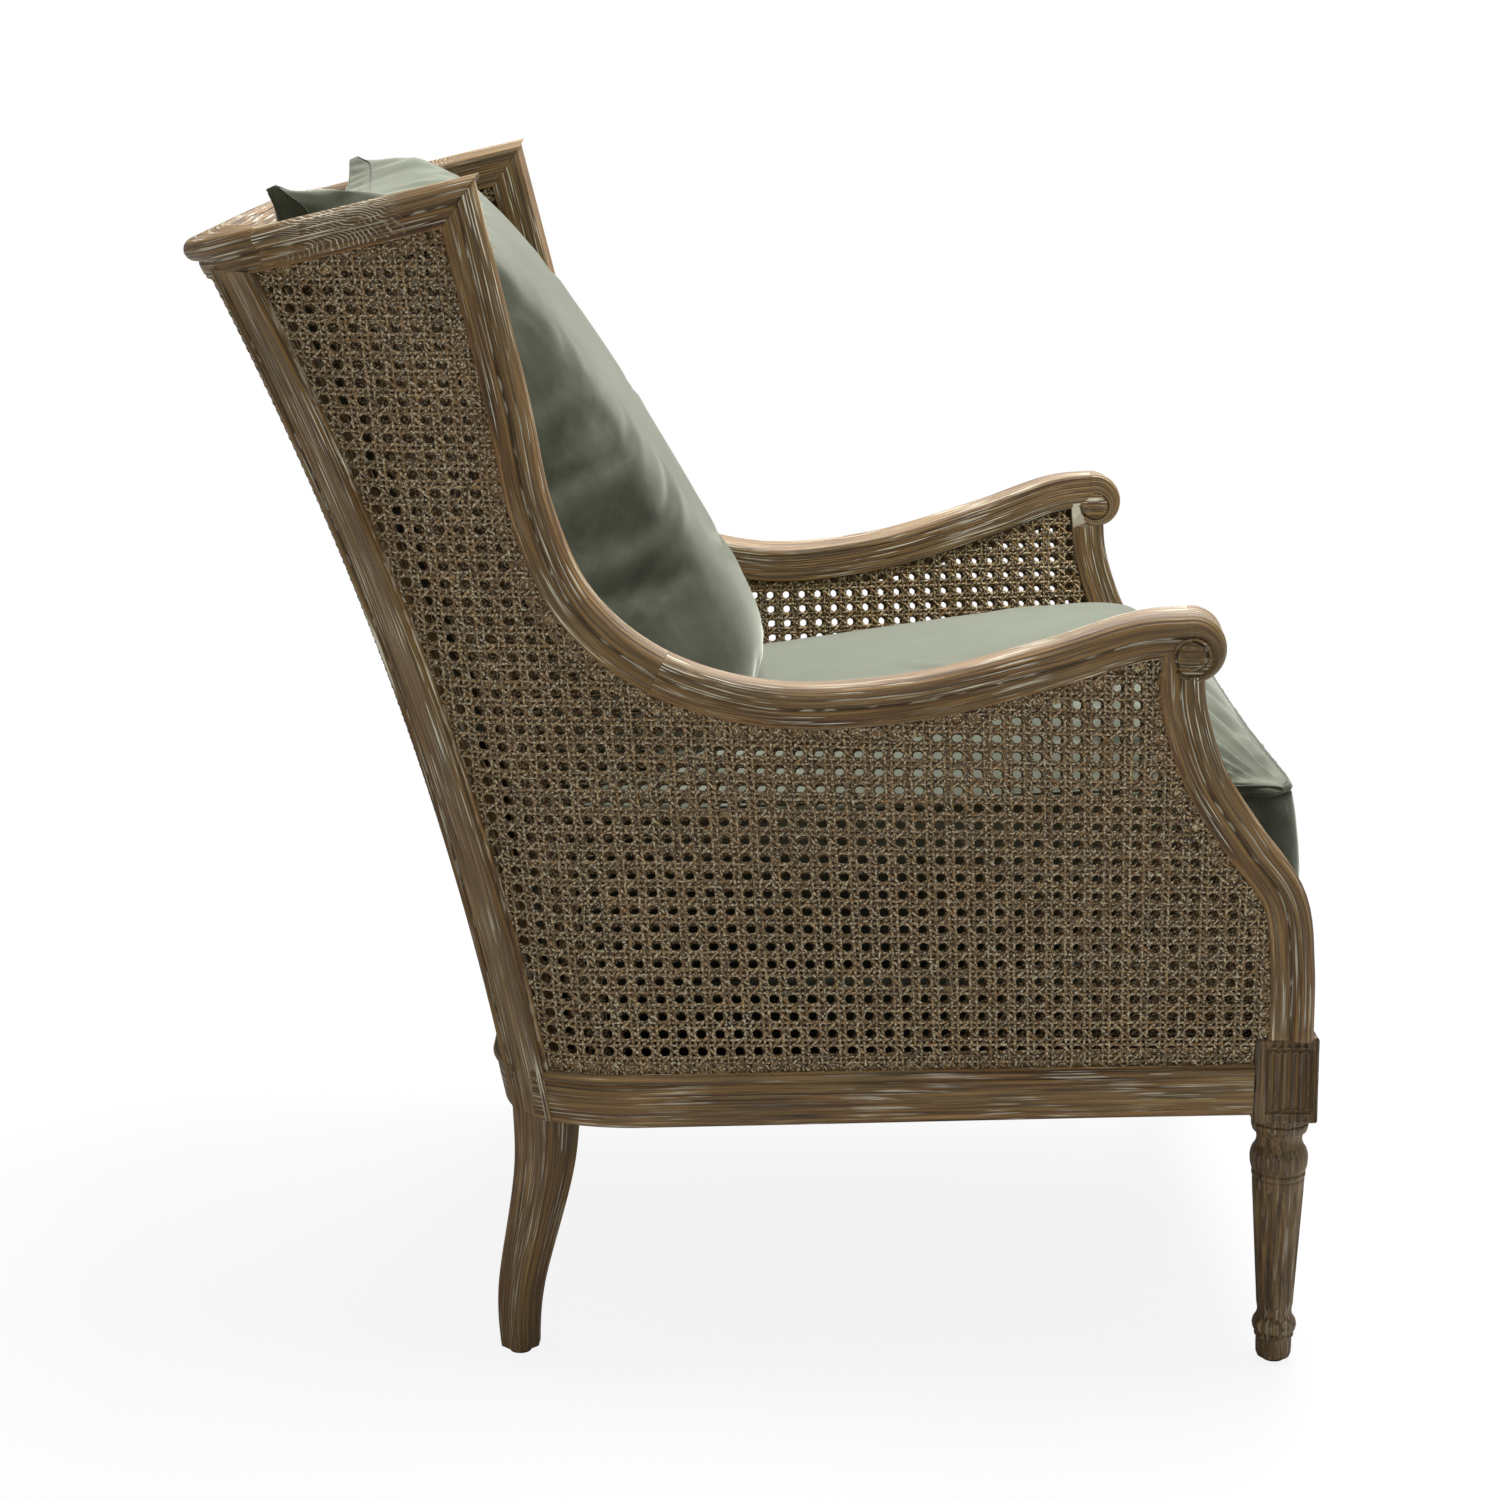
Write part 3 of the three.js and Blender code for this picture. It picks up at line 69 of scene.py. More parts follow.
# Shell of the sides and the back
SIDE_FRONT, SIDE_REAR = 354, 360
LEAN_FRONT, LEAN_REAR = 0.1, -0.088
LEAN_START, LEAN_END = -450, 220
BACK_LOW_Z, BACK_MID_Z, BACK_TOP_Z = 264, 600, 936
BACK_LOW_Y, BACK_MID_Y, BACK_TOP_Y = 207.5, 313, 468
back_curve = np.polyfit((BACK_LOW_Z, BACK_MID_Z, BACK_TOP_Z),
                        (BACK_LOW_Y, BACK_MID_Y, BACK_TOP_Y), 2)
CORNER_RADII = (165, 73)
BACK_RADII = (110, 270)
TURN_SIDE, TURN_POST = math.radians(27), math.radians(36)
STOPS = (0, TURN_SIDE, TURN_SIDE + TURN_POST, QUARTER)
POST_WIDTH, POST_DEPTH, POST_BEAD = 46, 38, 2.4
POST_HALF = POST_WIDTH / 2 / CORNER_RADII[1]
POST_HEADING = TURN_SIDE + TURN_POST / 2
CREST_HEADING = TURN_SIDE * 0.8

# Members
WIDTH, DEPTH, PROUD = 35, 34, 3.5
TORUS, TORUS_PROUD = 9.5, 10.5
GAP = 0.3
MITRE_Y, MITRE_Z, TIP_Y, TIP_Z = 242, 960, 214, 1000
FALL = 0.242
ARM_LOW, SCROLL_Y, SCROLL_Z = 557, -362, 623
FRONT_Y, BLOCK, BLOCK_LOW, BLOCK_TOP, BLOCK_X = -480, 54, 218, 292, 356
BLOCK_REAR = FRONT_Y + BLOCK
RAIL_TOP, RAIL_H, RAIL_FALL, RAIL_PROUD = 268, 43, 8, 7
GLIDE, TENON = 3, 12
shift_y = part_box("left_front_leg")[0][1] / MM - FRONT_Y


def lerp(a, b, t):
    return a + (b - a) * t


def arr(*v):
    return np.array(v, float)


MIRROR = arr(-1, 1, 1)


def unit(v):
    return v / np.maximum(np.linalg.norm(v, axis=-1, keepdims=True), 1e-12)


def dot(a, b):
    return (a * b).sum(-1, keepdims=True)


def back_y(z):
    return np.polyval(back_curve, z)


def side_x(y, z):
    t = np.clip((y - LEAN_START) / (LEAN_END - LEAN_START), 0, 1)
    t = t * t * (3 - 2 * t)
    return lerp(SIDE_FRONT, SIDE_REAR, t) + lerp(LEAN_FRONT, LEAN_REAR, t) * (z - BACK_LOW_Z)


def corner_point(heading, z):
    heading, z = np.broadcast_arrays(np.asarray(heading, float), np.asarray(z, float))
    t = (z - BACK_LOW_Z) / (BACK_TOP_Z - BACK_LOW_Z)
    arcs = list(zip((*CORNER_RADII, lerp(*BACK_RADII, t)), STOPS, STOPS[1:]))
    y = back_y(z)
    for r, a, b in arcs:
        y = y - r * (math.sin(b) - math.sin(a))
    x = side_x(y, z)
    for r, a, b in arcs:
        e = np.clip(heading, a, b)
        x = x - r * (math.cos(a) - np.cos(e))
        y = y + r * (np.sin(e) - math.sin(a))
    return np.stack([x, y, z], -1)


def bisect(like, test):
    """Where a test over 0 to a quarter turn changes from true to false."""
    low, high = np.zeros_like(like), np.full_like(like, QUARTER)
    for _ in range(HALVINGS):
        middle = (low + high) / 2
        ok = test(middle)
        low, high = np.where(ok, middle, low), np.where(ok, high, middle)
    return (low + high) / 2


def side_point(y, z):
    y, z = np.broadcast_arrays(np.asarray(y, float), np.asarray(z, float))
    turned = bisect(y, lambda a: corner_point(a, z)[..., 1] < y)
    flat = np.stack([side_x(y, z), y, z], -1)
    return np.where((y <= corner_point(0, z)[..., 1])[..., None], flat, corner_point(turned, z))


def back_point(x, z):
    x, z = np.broadcast_arrays(np.asarray(x, float), np.asarray(z, float))
    half = np.abs(x)
    turned = bisect(x, lambda a: corner_point(a, z)[..., 0] > half)
    flat = half <= corner_point(QUARTER, z)[..., 0]
    return np.stack([x, np.where(flat, back_y(z), corner_point(turned, z)[..., 1]), z], -1)


def on_surface(surface, u, v, du, outward):
    """Points of a surface and their normals, turned to the outward direction."""
    u, v, dv = np.asarray(u, float), np.asarray(v, float), 0.5
    along = surface(u + du, v) - surface(u - du, v)
    up = surface(u, v + dv) - surface(u, v - dv)
    normal = unit(np.cross(along, up))
    return surface(u, v), np.where(dot(normal, outward) < 0, -normal, normal)


def on_side(y, z):
    return on_surface(side_point, y, z, 0.5, arr(1, 0, 0))


def on_back(x, z):
    return on_surface(back_point, x, z, 0.5, arr(0, 1, 0))


def on_corner(heading, z):
    return on_surface(corner_point, heading, z, 0.002, arr(1, 1, 0))


def top_line(y):
    return MITRE_Z - FALL * (y - MITRE_Y)


def settle(place_at, like):
    """Heights at which places that move with their height lie on the top line."""
    z = np.full(np.shape(like), float(MITRE_Z))
    for _ in range(HALVINGS):
        z = top_line(place_at(z)[..., 1])
    return z


def corner_top(heading):
    return settle(lambda z: corner_point(heading, z), heading)


def rail_top_at(y):
    return RAIL_TOP - RAIL_FALL * np.clip((y - BLOCK_REAR) / (BACK_LOW_Y - BLOCK_REAR), 0, 1)


REAR_RAIL_TOP = float(rail_top_at(BACK_LOW_Y))


def catmull(points, ts):
    """Centripetal Catmull-Rom through (y, z) points, at shares of its point count."""
    p = np.array(points, float)
    out = []
    last = len(p) - 1
    for t in ts:
        s = min(t * last, last - 1e-9)
        i = int(s)
        f = s - i
        p1, p2 = p[i], p[i + 1]
        p0 = p[i - 1] if i > 0 else 2 * p[0] - p[1]
        p3 = p[i + 2] if i + 2 <= last else 2 * p[last] - p[last - 1]
        chords = ((p0, p1), (p1, p2), (p2, p3))
        d0, d1, d2 = (max(np.linalg.norm(b - a) ** 0.5, 1e-4) for a, b in chords)
        m1 = ((p1 - p0) / d0 - (p2 - p0) / (d0 + d1) + (p2 - p1) / d1) * d1
        m2 = ((p2 - p1) / d1 - (p3 - p1) / (d1 + d2) + (p3 - p2) / d2) * d1
        square, cube = -3 * p1 + 3 * p2 - 2 * m1 - m2, 2 * p1 - 2 * p2 + m1 + m2
        out.append(p1 + m1 * f + square * f**2 + cube * f**3)
    return np.array(out)


rise = (SCROLL_Z - ARM_LOW) / (MITRE_Z - ARM_LOW)
arm_shares = [
    (1.0, 1.0), (0.941, 0.633), (0.909, 0.409), (0.848, 0.213), (0.738, 0.074),
    (0.576, 0.001), (0.378, 0.016), (0.182, 0.094), (0.06, 0.155), (0.0, rise),
]
arm_points = [(lerp(SCROLL_Y, MITRE_Y, a), lerp(ARM_LOW, MITRE_Z, b)) for a, b in arm_shares]
HEAD_Y, FOOT_Y, HEAD_Z = -337, -439, 614
support_shares = [
    (0, 1.0), (0.04, 0.871), (0.25, 0.674), (0.63, 0.486), (0.9, 0.365), (0.98, 0.2), (1.0, 0),
]
support_points = [(lerp(HEAD_Y, FOOT_Y, a), lerp(BLOCK_TOP, HEAD_Z, b)) for a, b in support_shares]
SCARF, SCARF_STEP = 10 / 22, 1 / 22


def side_places(points, start, end, steps):
    line = catmull(points, np.linspace(start, end, steps + 1))
    return on_side(line[:, 0], line[:, 1])


# Sections of (across, outward) points

def arc(cx, cy, r, a0, a1, n):
    turned = np.radians(np.linspace(a0, a1, n))
    return [(cx + r * math.cos(a), cy + r * math.sin(a)) for a in turned]


def moulded():
    """A flat fascia, a quirk and a bold torus on the outer edge."""
    centre, lift = WIDTH - TORUS, TORUS_PROUD - TORUS
    quirk = centre - TORUS - 1.2
    section = [(0, PROUD - 1), (3, PROUD - 0.8), (3.8, PROUD)]
    section += [((quirk + 3.8) / 2, PROUD + 0.15), (quirk - 1.6, PROUD), (quirk, PROUD - 1.1)]
    section += arc(centre, lift, TORUS, 165, 0, 15)
    section += [(WIDTH - 0.6 * lift, -TORUS), (WIDTH - 2 * lift, -DEPTH + 6)]
    section += arc(WIDTH - 2 * lift - 4, -DEPTH + 4, 4, 0, -90, 5)
    return section + [(0.8, -DEPTH), (0, -DEPTH + 0.8)]


def rail_section():
    """A bead along the top, a flat face and a rounded lower edge."""
    face = RAIL_PROUD - 2
    section = [(0, 0)] + arc(3.5, RAIL_PROUD - 3.5, 3.5, 180, 0, 9)
    section += [(7.2, face - 0.9), (8.4, face)]
    section += [(RAIL_H * 0.5, face + 0.2)] + arc(RAIL_H - 2.5, face - 2.5, 2.5, 90, 0, 5)
    return section + [(RAIL_H, -DEPTH + 1), (RAIL_H - 1, -DEPTH), (1, -DEPTH), (0, -DEPTH + 1)]


# Mesh building

def tangents(points):
    ahead = np.vstack([points[1:], points[-1:]])
    behind = np.vstack([points[:1], points[:-1]])
    return unit(ahead - behind)


def butt(points, i, gap):
    t = tangents(points)[i]
    return points[i] + t * gap, t


def joined(a, b):
    """Two runs of places, each as (points, normals), as one."""
    return np.vstack([a[0], b[0]]), np.vstack([a[1], b[1]])


def mirrored(half):
    """Places that end on the middle plane, and their mirror image after them."""
    return joined(half, (half[0][-2::-1] * MIRROR, half[1][-2::-1] * MIRROR))


def spanned(half):
    """Places from one corner to the middle of the back and on to the other corner."""
    return mirrored(joined(half, on_back(arr(0), half[0][-1:, 2])))


def sweep(places, section, side=1, ends=(None, None)):
    """Rings of a section along places on the shell, with the grain's own coordinates."""
    points, normals = places
    t = tangents(points)
    across = unit(np.cross(t, normals)) * side
    outward = np.cross(across, t) * side
    outward = np.where(dot(outward, normals) < 0, -outward, outward)
    run = np.concatenate([[0], np.cumsum(np.linalg.norm(np.diff(points, axis=0), axis=1))])
    s = np.array(section, float)
    rings = points[:, None] + across[:, None] * s[None, :, :1] + outward[:, None] * s[None, :, 1:]
    grain = along_grain(run[:, None], s[None], rings)
    for i, end in ((0, ends[0]), (-1, ends[1])):
        if end is not None:
            reach = dot(end[0] - rings[i], end[1]) / (t[i] @ end[1])
            rings[i] += t[i] * reach
            grain[i, :, :1] += reach
    return rings, grain


def along_grain(along, across, like):
    """Grain coordinates of rings: the first runs along the wood, the others across it."""
    grain = np.empty_like(like)
    grain[..., 0] = along
    grain[..., 1:] = across
    return grain


def lofted(rings, grain=None, closed=False):
    """One shell as (points, faces, grain), capped, or closed from its last ring to its first."""
    rows, count = rings.shape[:2]
    faces = []
    for r in range(rows if closed else rows - 1):
        a, b = r * count, (r + 1) % rows * count
        faces += [(a + i, a + (i + 1) % count, b + (i + 1) % count, b + i) for i in range(count)]
    if not closed:
        faces.append(tuple(range(count))[::-1])
        faces.append(tuple((rows - 1) * count + i for i in range(count)))
    flat = rings.reshape(-1, 3)
    return flat, faces, flat if grain is None else grain.reshape(-1, 3)


def merged(shells):
    points, faces, grains, base = [], [], [], 0
    for p, f, g in shells:
        points.append(p)
        grains.append(g)
        faces += [tuple(base + i for i in face) for face in f]
        base += len(p)
    return np.vstack(points), faces, np.vstack(grains)


def volume_sign(points, faces):
    total = 0
    for f in faces:
        a = points[f[0]]
        for i in range(1, len(f) - 1):
            total += a @ np.cross(points[f[i]], points[f[i + 1]])
    return total


def in_metres(points):
    return (points + arr(0, shift_y, 0)) * MM


def in_millimetres(points):
    return points / MM - arr(0, shift_y, 0)


def placed(name, data):
    o = bpy.data.objects.new(name, data)
    bpy.context.scene.collection.objects.link(o)
    return o


def read_rows(items, key, width=3, kind=np.float32):
    flat = np.zeros(len(items) * width, kind)
    items.foreach_get(key, flat)
    return flat.reshape(-1, width)


def read_points(o):
    return read_rows(o.data.vertices, "co")


def write_points(o, points):
    o.data.vertices.foreach_set("co", np.asarray(points, np.float32).ravel())
    o.data.update()


def vertex_normals(o):
    return read_rows(o.data.vertices, "normal")


def mark(o, name, values):
    """An attribute of one number or one vector per point, for the materials."""
    kind, key = ("FLOAT_VECTOR", "vector") if values.ndim > 1 else ("FLOAT", "value")
    if name not in o.data.attributes:
        o.data.attributes.new(name, kind, "POINT")
    o.data.attributes[name].data.foreach_set(key, values.astype(np.float32).ravel())


def mark_relief(o):
    """Hollows above 0 and edges below 0, for the finish to settle in or wear off."""
    a, b = read_rows(o.data.edges, "vertices", 2, np.int32).T
    points, normals = read_points(o), vertex_normals(o)
    way = points[b] - points[a]
    way /= np.maximum(np.linalg.norm(way, axis=1, keepdims=True), 1e-9)
    rise, count = np.zeros(len(points)), np.zeros(len(points))
    for one, sign in ((a, 1), (b, -1)):
        np.add.at(rise, one, sign * (way * normals[one]).sum(1))
        np.add.at(count, one, 1)
    mark(o, "relief", 2 * rise / np.maximum(count, 1))


def smooth_but_for_edges(me, angle):
    me.shade_smooth()
    if angle < 180:
        me.set_sharp_from_angle(angle=math.radians(angle))


def mesh_object(name, shell, mat, angle=SHARP, flip=False):
    """A Blender object from a shell in millimetres; flip mirrors it to the other side."""
    points, faces, grain = shell
    if flip:
        points = points * MIRROR
    if volume_sign(points, faces) < 0:
        faces = [f[::-1] for f in faces]
    me = bpy.data.meshes.new(name)
    me.from_pydata(in_metres(points).tolist(), [], [list(map(int, f)) for f in faces])
    o = placed(name, me)
    mark(o, "grain", grain * MM)
    me.validate()
    smooth_but_for_edges(me, angle)
    me.materials.append(mat)
    return o


def fast_mesh(name, points, quads, mat):
    """A Blender object from many quads, with no grain of its own."""
    me = bpy.data.meshes.new(name)
    me.vertices.add(len(points))
    me.vertices.foreach_set("co", in_metres(points).astype(np.float32).ravel())
    me.loops.add(quads.size)
    me.loops.foreach_set("vertex_index", quads.astype(np.int32).ravel())
    me.polygons.add(len(quads))
    me.polygons.foreach_set("loop_start", np.arange(0, quads.size, 4, dtype=np.int32))
    me.update(calc_edges=True)
    me.shade_smooth()
    me.materials.append(mat)
    return placed(name, me)


def dress(o, node, body="frame"):
    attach(o, body)
    if node:
        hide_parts(node)
    return o


def both(name, shell, mat, node=None, angle=SHARP):
    """A wooden piece on the left and its mirror image on the right."""
    made = []
    for side in ("left", "right"):
        o = mesh_object(f"{side}_{name}", shell, mat, angle, side == "right")
        made.append(dress(o, node and f"{side}_{node}"))
    return made


def apply_modifiers(o):
    bpy.context.view_layer.update()
    dg = bpy.context.evaluated_depsgraph_get()
    me = bpy.data.meshes.new_from_object(o.evaluated_get(dg))
    o.modifiers.clear()
    o.data = me

# Materials

def srgb(r, g, b):
    def one(c):
        c /= 255
        return c / 12.92 if c <= 0.04045 else ((c + 0.055) / 1.055) ** 2.4
    return (one(r), one(g), one(b), 1)


def tinted(tone, warm=0.0):
    """A way to give colours in sRGB steps, times a tone and with some red added."""
    return lambda r, g, b: srgb(r * tone + warm, g * tone, b * tone)


class Nodes:
    """The node tree of a material or world, with short ways to add to it."""

    def __init__(self, owner):
        owner.use_nodes = True
        self.owner = owner
        self.tree = owner.node_tree
        self.shader = self.tree.nodes.get("Principled BSDF")

    def add(self, kind, **values):
        n = self.tree.nodes.new("ShaderNode" + kind)
        for key, value in values.items():
            if hasattr(n, key) and key not in n.inputs:
                setattr(n, key, value)
            else:
                n.inputs[key].default_value = value
        return n

    def put(self, value, socket):
        """A constant set on a socket, or an output linked to it."""
        if isinstance(value, (int, float, tuple)):
            socket.default_value = value
        else:
            self.tree.links.new(value, socket)

    def fed(self, node, *values):
        for socket, value in zip(node.inputs, values):
            self.put(value, socket)
        return node.outputs[0]

    def place(self):
        return self.add("TexCoord").outputs["Object"]

    def attribute(self, name, output):
        return self.add("Attribute", attribute_name=name).outputs[output]

    def axis(self, vector, name):
        n = self.add("SeparateXYZ")
        self.put(vector, n.inputs[0])
        return n.outputs[name]

    def scaled(self, vector, scale):
        m = self.add("Mapping", Scale=scale)
        self.put(vector, m.inputs["Vector"])
        return m.outputs["Vector"]

    def noise(self, vector, scale, detail=4.0, rough=0.55, distortion=0.0):
        """Noise at one scale, or with a scale of its own along each axis."""
        if isinstance(scale, tuple):
            vector, scale = self.scaled(vector, scale), 1
        n = self.add("TexNoise", Scale=scale, Detail=detail, Roughness=rough, Distortion=distortion)
        self.put(vector, n.inputs["Vector"])
        return n.outputs["Fac"]

    def bands(self, vector, axis, scale, distortion, **values):
        n = self.add("TexWave", wave_type="BANDS", bands_direction=axis, Scale=scale,
                     Distortion=distortion, **values)
        self.put(vector, n.inputs["Vector"])
        return n.outputs["Fac"]

    def ramp(self, fac, *stops):
        n = self.add("ValToRGB")
        while len(n.color_ramp.elements) < len(stops):
            n.color_ramp.elements.new(0.5)
        for e, (at, c) in zip(n.color_ramp.elements, stops):
            e.position = at
            e.color = c if isinstance(c, tuple) else (c, c, c, 1)
        self.put(fac, n.inputs["Fac"])
        return n.outputs["Color"]

    def mix(self, fac, a, b, blend="MIX"):
        n = self.add("Mix", data_type="RGBA", blend_type=blend)
        for i, value in ((0, fac), (6, a), (7, b)):
            self.put(value, n.inputs[i])
        return n.outputs[2]

    def maths(self, operation, a, b=0.0):
        return self.fed(self.add("Math", operation=operation), a, b)

    def times(self, first, *factors):
        for factor in factors:
            first = self.maths("MULTIPLY", first, factor)
        return first

    def bump(self, height, distance, strength=1.0):
        n = self.add("Bump", Strength=strength, Distance=distance)
        self.put(height, n.inputs["Height"])
        return n.outputs["Normal"]

    def finish(self, colour, roughness, normal, **constants):
        values = {"Base Color": colour, "Roughness": roughness, "Normal": normal, **constants}
        for key, value in values.items():
            self.put(value, self.shader.inputs[key])
        return self.owner


FLAME_PITCH, FLAME_BEND, FLAME_AT = 0.0052, 44.0, 0.07


def flamed(n, coords, colour, lime, tint):
    """Arched growth rings over one part of a board."""
    x, y = n.axis(coords, "X"), n.axis(coords, "Y")
    wander = n.times(n.noise(coords, (16, 30, 30), 3, 0.5), 0.05)
    field = n.maths("ADD", n.maths("ADD", x, n.times(y, y, FLAME_BEND)), wander)
    wave = n.maths("SINE", n.times(field, 2 * math.pi / FLAME_PITCH))
    rough_edge = n.ramp(n.noise(coords, (140, 140, 140), 2, 0.5), (0.4, 0.1), (0.55, 1.0))
    apart = n.maths("ABSOLUTE", n.maths("SUBTRACT", x, FLAME_AT))
    part = n.ramp(n.times(apart, 10.0), (0.3, 1.0), (0.55, 0.0))
    line = n.times(n.ramp(wave, (0.6, 0.0), (0.92, 1.0)), part)
    shade = n.times(n.ramp(wave, (0.0, 1.0), (0.35, 0.0)), part)
    lime = n.maths("MAXIMUM", lime, n.times(line, rough_edge, 0.85))
    return n.mix(n.times(shade, 0.4), colour, tint(54, 36, 20)), lime


def limed_oak(name, across=False, tone=1.0, warm=0.0, lime_share=1.0, flame=False):
    """Weathered oak with lime in its pores; the grain runs along X of its coordinates."""
    n = Nodes(bpy.data.materials.new(name))
    coords = n.place() if across else n.attribute("grain", "Vector")
    tint = tinted(tone, warm)
    broad = n.noise(coords, (5, 34, 34), 3, 0.5, 0.6)
    streak = n.noise(coords, (9, 330, 330), 5, 0.66, 0.3)
    fibre = n.noise(coords, (26, 760, 760), 3, 0.6)
    colour = n.ramp(streak, (0.28, tint(41, 27, 10)), (0.44, tint(84, 58, 24)),
                    (0.58, tint(122, 91, 43)), (0.78, tint(160, 127, 68)))
    clouded = n.times(n.ramp(broad, (0.42, 0.0), (0.66, 1.0)), 0.32)
    colour = n.mix(clouded, colour, tint(112, 99, 62))
    ring = n.bands(n.scaled(coords, (9, 120, 150)), "Y", 0.5, 3.4,
                   **{"Detail": 2.0, "Detail Scale": 0.55})
    dark = n.ramp(ring, (0.0, 1.0), (0.24, 0.0))
    colour = n.mix(n.times(dark, 0.42), colour, tint(48, 33, 20))
    pore = n.ramp(n.noise(coords, (14, 560, 560), 2, 0.5), (0.57, 0.0), (0.62, 1.0))
    patchy = n.ramp(n.noise(coords, (11, 42, 42), 3, 0.5), (0.44, 0.08), (0.6, 1.0))
    relief = n.attribute("relief", "Fac")
    hollow = n.ramp(relief, (0.12, 0.0), (0.5, 1.0))
    speck = n.ramp(n.noise(coords, (60, 260, 260), 2, 0.5), (0.52, 0.0), (0.6, 1.0))
    lime = n.maths("MAXIMUM", n.times(pore, patchy), n.times(hollow, speck, 0.7))
    colour = n.mix(n.times(hollow, 0.7), colour, tint(40, 29, 17))
    worn = n.ramp(n.times(relief, -1.0), (0.3, 0.0), (0.9, 0.3))
    colour = n.mix(worn, colour, tint(150, 122, 78))
    if flame:
        colour, lime = flamed(n, coords, colour, lime, tint)
    # Painted shade: less pale lime below half a metre, so the lower wood reads darker, as if less
    # light reached it from above.
    painted_shade_by_height = n.ramp(n.axis(n.place(), "Z"), (0.33, 0.7), (0.5, 1.0))
    colour = n.mix(n.times(lime, lime_share, painted_shade_by_height), colour, tint(204, 199, 176))
    rough = n.ramp(streak, (0.3, 0.72), (0.7, 0.56))
    sunk = n.times(n.maths("ADD", pore, dark), 0.4)
    height = n.maths("SUBTRACT", n.maths("ADD", streak, n.times(fibre, 0.5)), sunk)
    return n.finish(colour, rough, n.bump(height, 0.0008, 0.75))


def cane_material(name, tone=1.0):
    """Split cane, with a tone for each strand from its attribute and lime in its fibres."""
    n = Nodes(bpy.data.materials.new(name))
    coords = n.place()
    patch, strand = n.noise(coords, 28, 3, 0.6), n.noise(coords, 260, 3, 0.6)
    fine = n.noise(coords, 560, 2, 0.5)
    tint = tinted(tone)
    base = n.ramp(strand, (0.3, tint(36, 25, 12)), (0.5, tint(88, 66, 34)),
                  (0.72, tint(156, 126, 76)))
    base = n.mix(n.ramp(patch, (0.35, 0.0), (0.7, 0.5)), base, tint(118, 84, 42))
    base = n.mix(1.0, base, n.attribute("tone", "Fac"), "MULTIPLY")
    colour = n.mix(n.ramp(fine, (0.53, 0.0), (0.61, 0.9)), base, tint(190, 180, 150))
    return n.finish(colour, 0.6, n.bump(fine, 0.0006, 0.8))


def velvet_material(name, tone=1.0):
    """Velvet with a brushed nap, and painted light: it is coloured lighter where it faces up, as if
    lit from above.
    """
    n = Nodes(bpy.data.materials.new(name))
    coords = n.place()
    brush = n.noise(coords, (6, 9, 7), 4, 0.6, 1.4)
    stroke = n.noise(coords, (34, 12, 20), 3, 0.6, 0.8)
    nap, pile = n.noise(coords, 90, 4, 0.65), n.noise(coords, 2600, 2, 0.6)
    tint = tinted(tone)
    base = n.ramp(brush, (0.3, tint(50, 53, 41)), (0.5, tint(64, 67, 54)), (0.72, tint(80, 83, 70)))
    base = n.mix(n.ramp(stroke, (0.45, 0.0), (0.7, 0.3)), base, tint(88, 91, 78))
    base = n.mix(n.ramp(nap, (0.4, 0.0), (0.7, 0.22)), base, tint(42, 45, 34))
    # Painted light: the base colour turns lighter on faces that point up, where the light from
    # above falls on them.
    up = n.axis(n.add("NewGeometry").outputs["Normal"], "Z")
    base = n.mix(n.ramp(up, (0.62, 0.0), (0.98, 0.56)), base, tint(118, 122, 108))
    height = n.maths("ADD", n.times(nap, 0.4), n.times(pile, 0.35))
    return n.finish(base, 0.88, n.bump(height, 0.0005, 0.35), **{
        "Sheen Weight": 0.84, "Sheen Roughness": 0.3, "Sheen Tint": srgb(232, 236, 221),
        "Specular IOR Level": 0.2})


def plain_cloth(name, dark, light, scale=900.0):
    n = Nodes(bpy.data.materials.new(name))
    coords = n.place()
    weave = n.times(n.bands(coords, "X", scale, 1.0), n.bands(coords, "Y", scale, 1.0))
    colour = n.mix(n.maths("ADD", weave, n.times(n.noise(coords, 40), 0.4)), dark, light)
    return n.finish(colour, 0.92, n.bump(weave, 0.0003, 0.5))


def nylon_material():
    n = Nodes(bpy.data.materials.new("nylon"))
    speck = n.noise(n.place(), 500, 3)
    colour = n.ramp(speck, (0.35, srgb(46, 40, 34)), (0.7, srgb(66, 58, 50)))
    return n.finish(colour, 0.5, n.bump(speck, 0.0002, 0.3))


oak = limed_oak("limed_oak")
oak_across = limed_oak("limed_oak_across", across=True)
# The legs' oak is toned darker, with half the lime: painted shade for the low parts, which the
# light from above reaches less.
oak_shaded_leg = limed_oak("limed_oak_shaded_leg", tone=0.88, lime_share=0.5)
oak_flame = limed_oak("limed_oak_flame", flame=True)
plain_oak = limed_oak("plain_oak", across=True, tone=1.18, warm=8, lime_share=0.15)
bead_oak = limed_oak("bead_oak", tone=1.12, warm=2)
cane_outer, cane_inner = cane_material("cane_outer"), cane_material("cane_inner", 1.15)
# The welt velvet is toned darker than the cover: painted shade for the dark seam lines along the
# piping.
velvet, shaded_welt_velvet = velvet_material("velvet"), velvet_material("shaded_welt_velvet", 0.84)
thread = velvet_material("sewing_thread", 0.6)
pad_cloth = velvet_material("platform_velvet", 0.9)
lining = plain_cloth("lining", srgb(30, 30, 29), srgb(52, 52, 50))
jute = plain_cloth("jute", srgb(120, 99, 64), srgb(168, 146, 102), 420.0)
nylon = nylon_material()

# Wood members

def mitre_plane(offset):
    corner, normal = on_side(MITRE_Y, MITRE_Z)
    tip = side_point(TIP_Y, TIP_Z)
    across = unit(np.cross(tip - corner, normal))
    across = -across if across[1] > 0 else across
    return corner + across * offset, across


def scarf_plane(gap):
    points, _ = side_places(arm_points, SCARF - SCARF_STEP, SCARF + SCARF_STEP, 2)
    return butt(points, 1, gap)


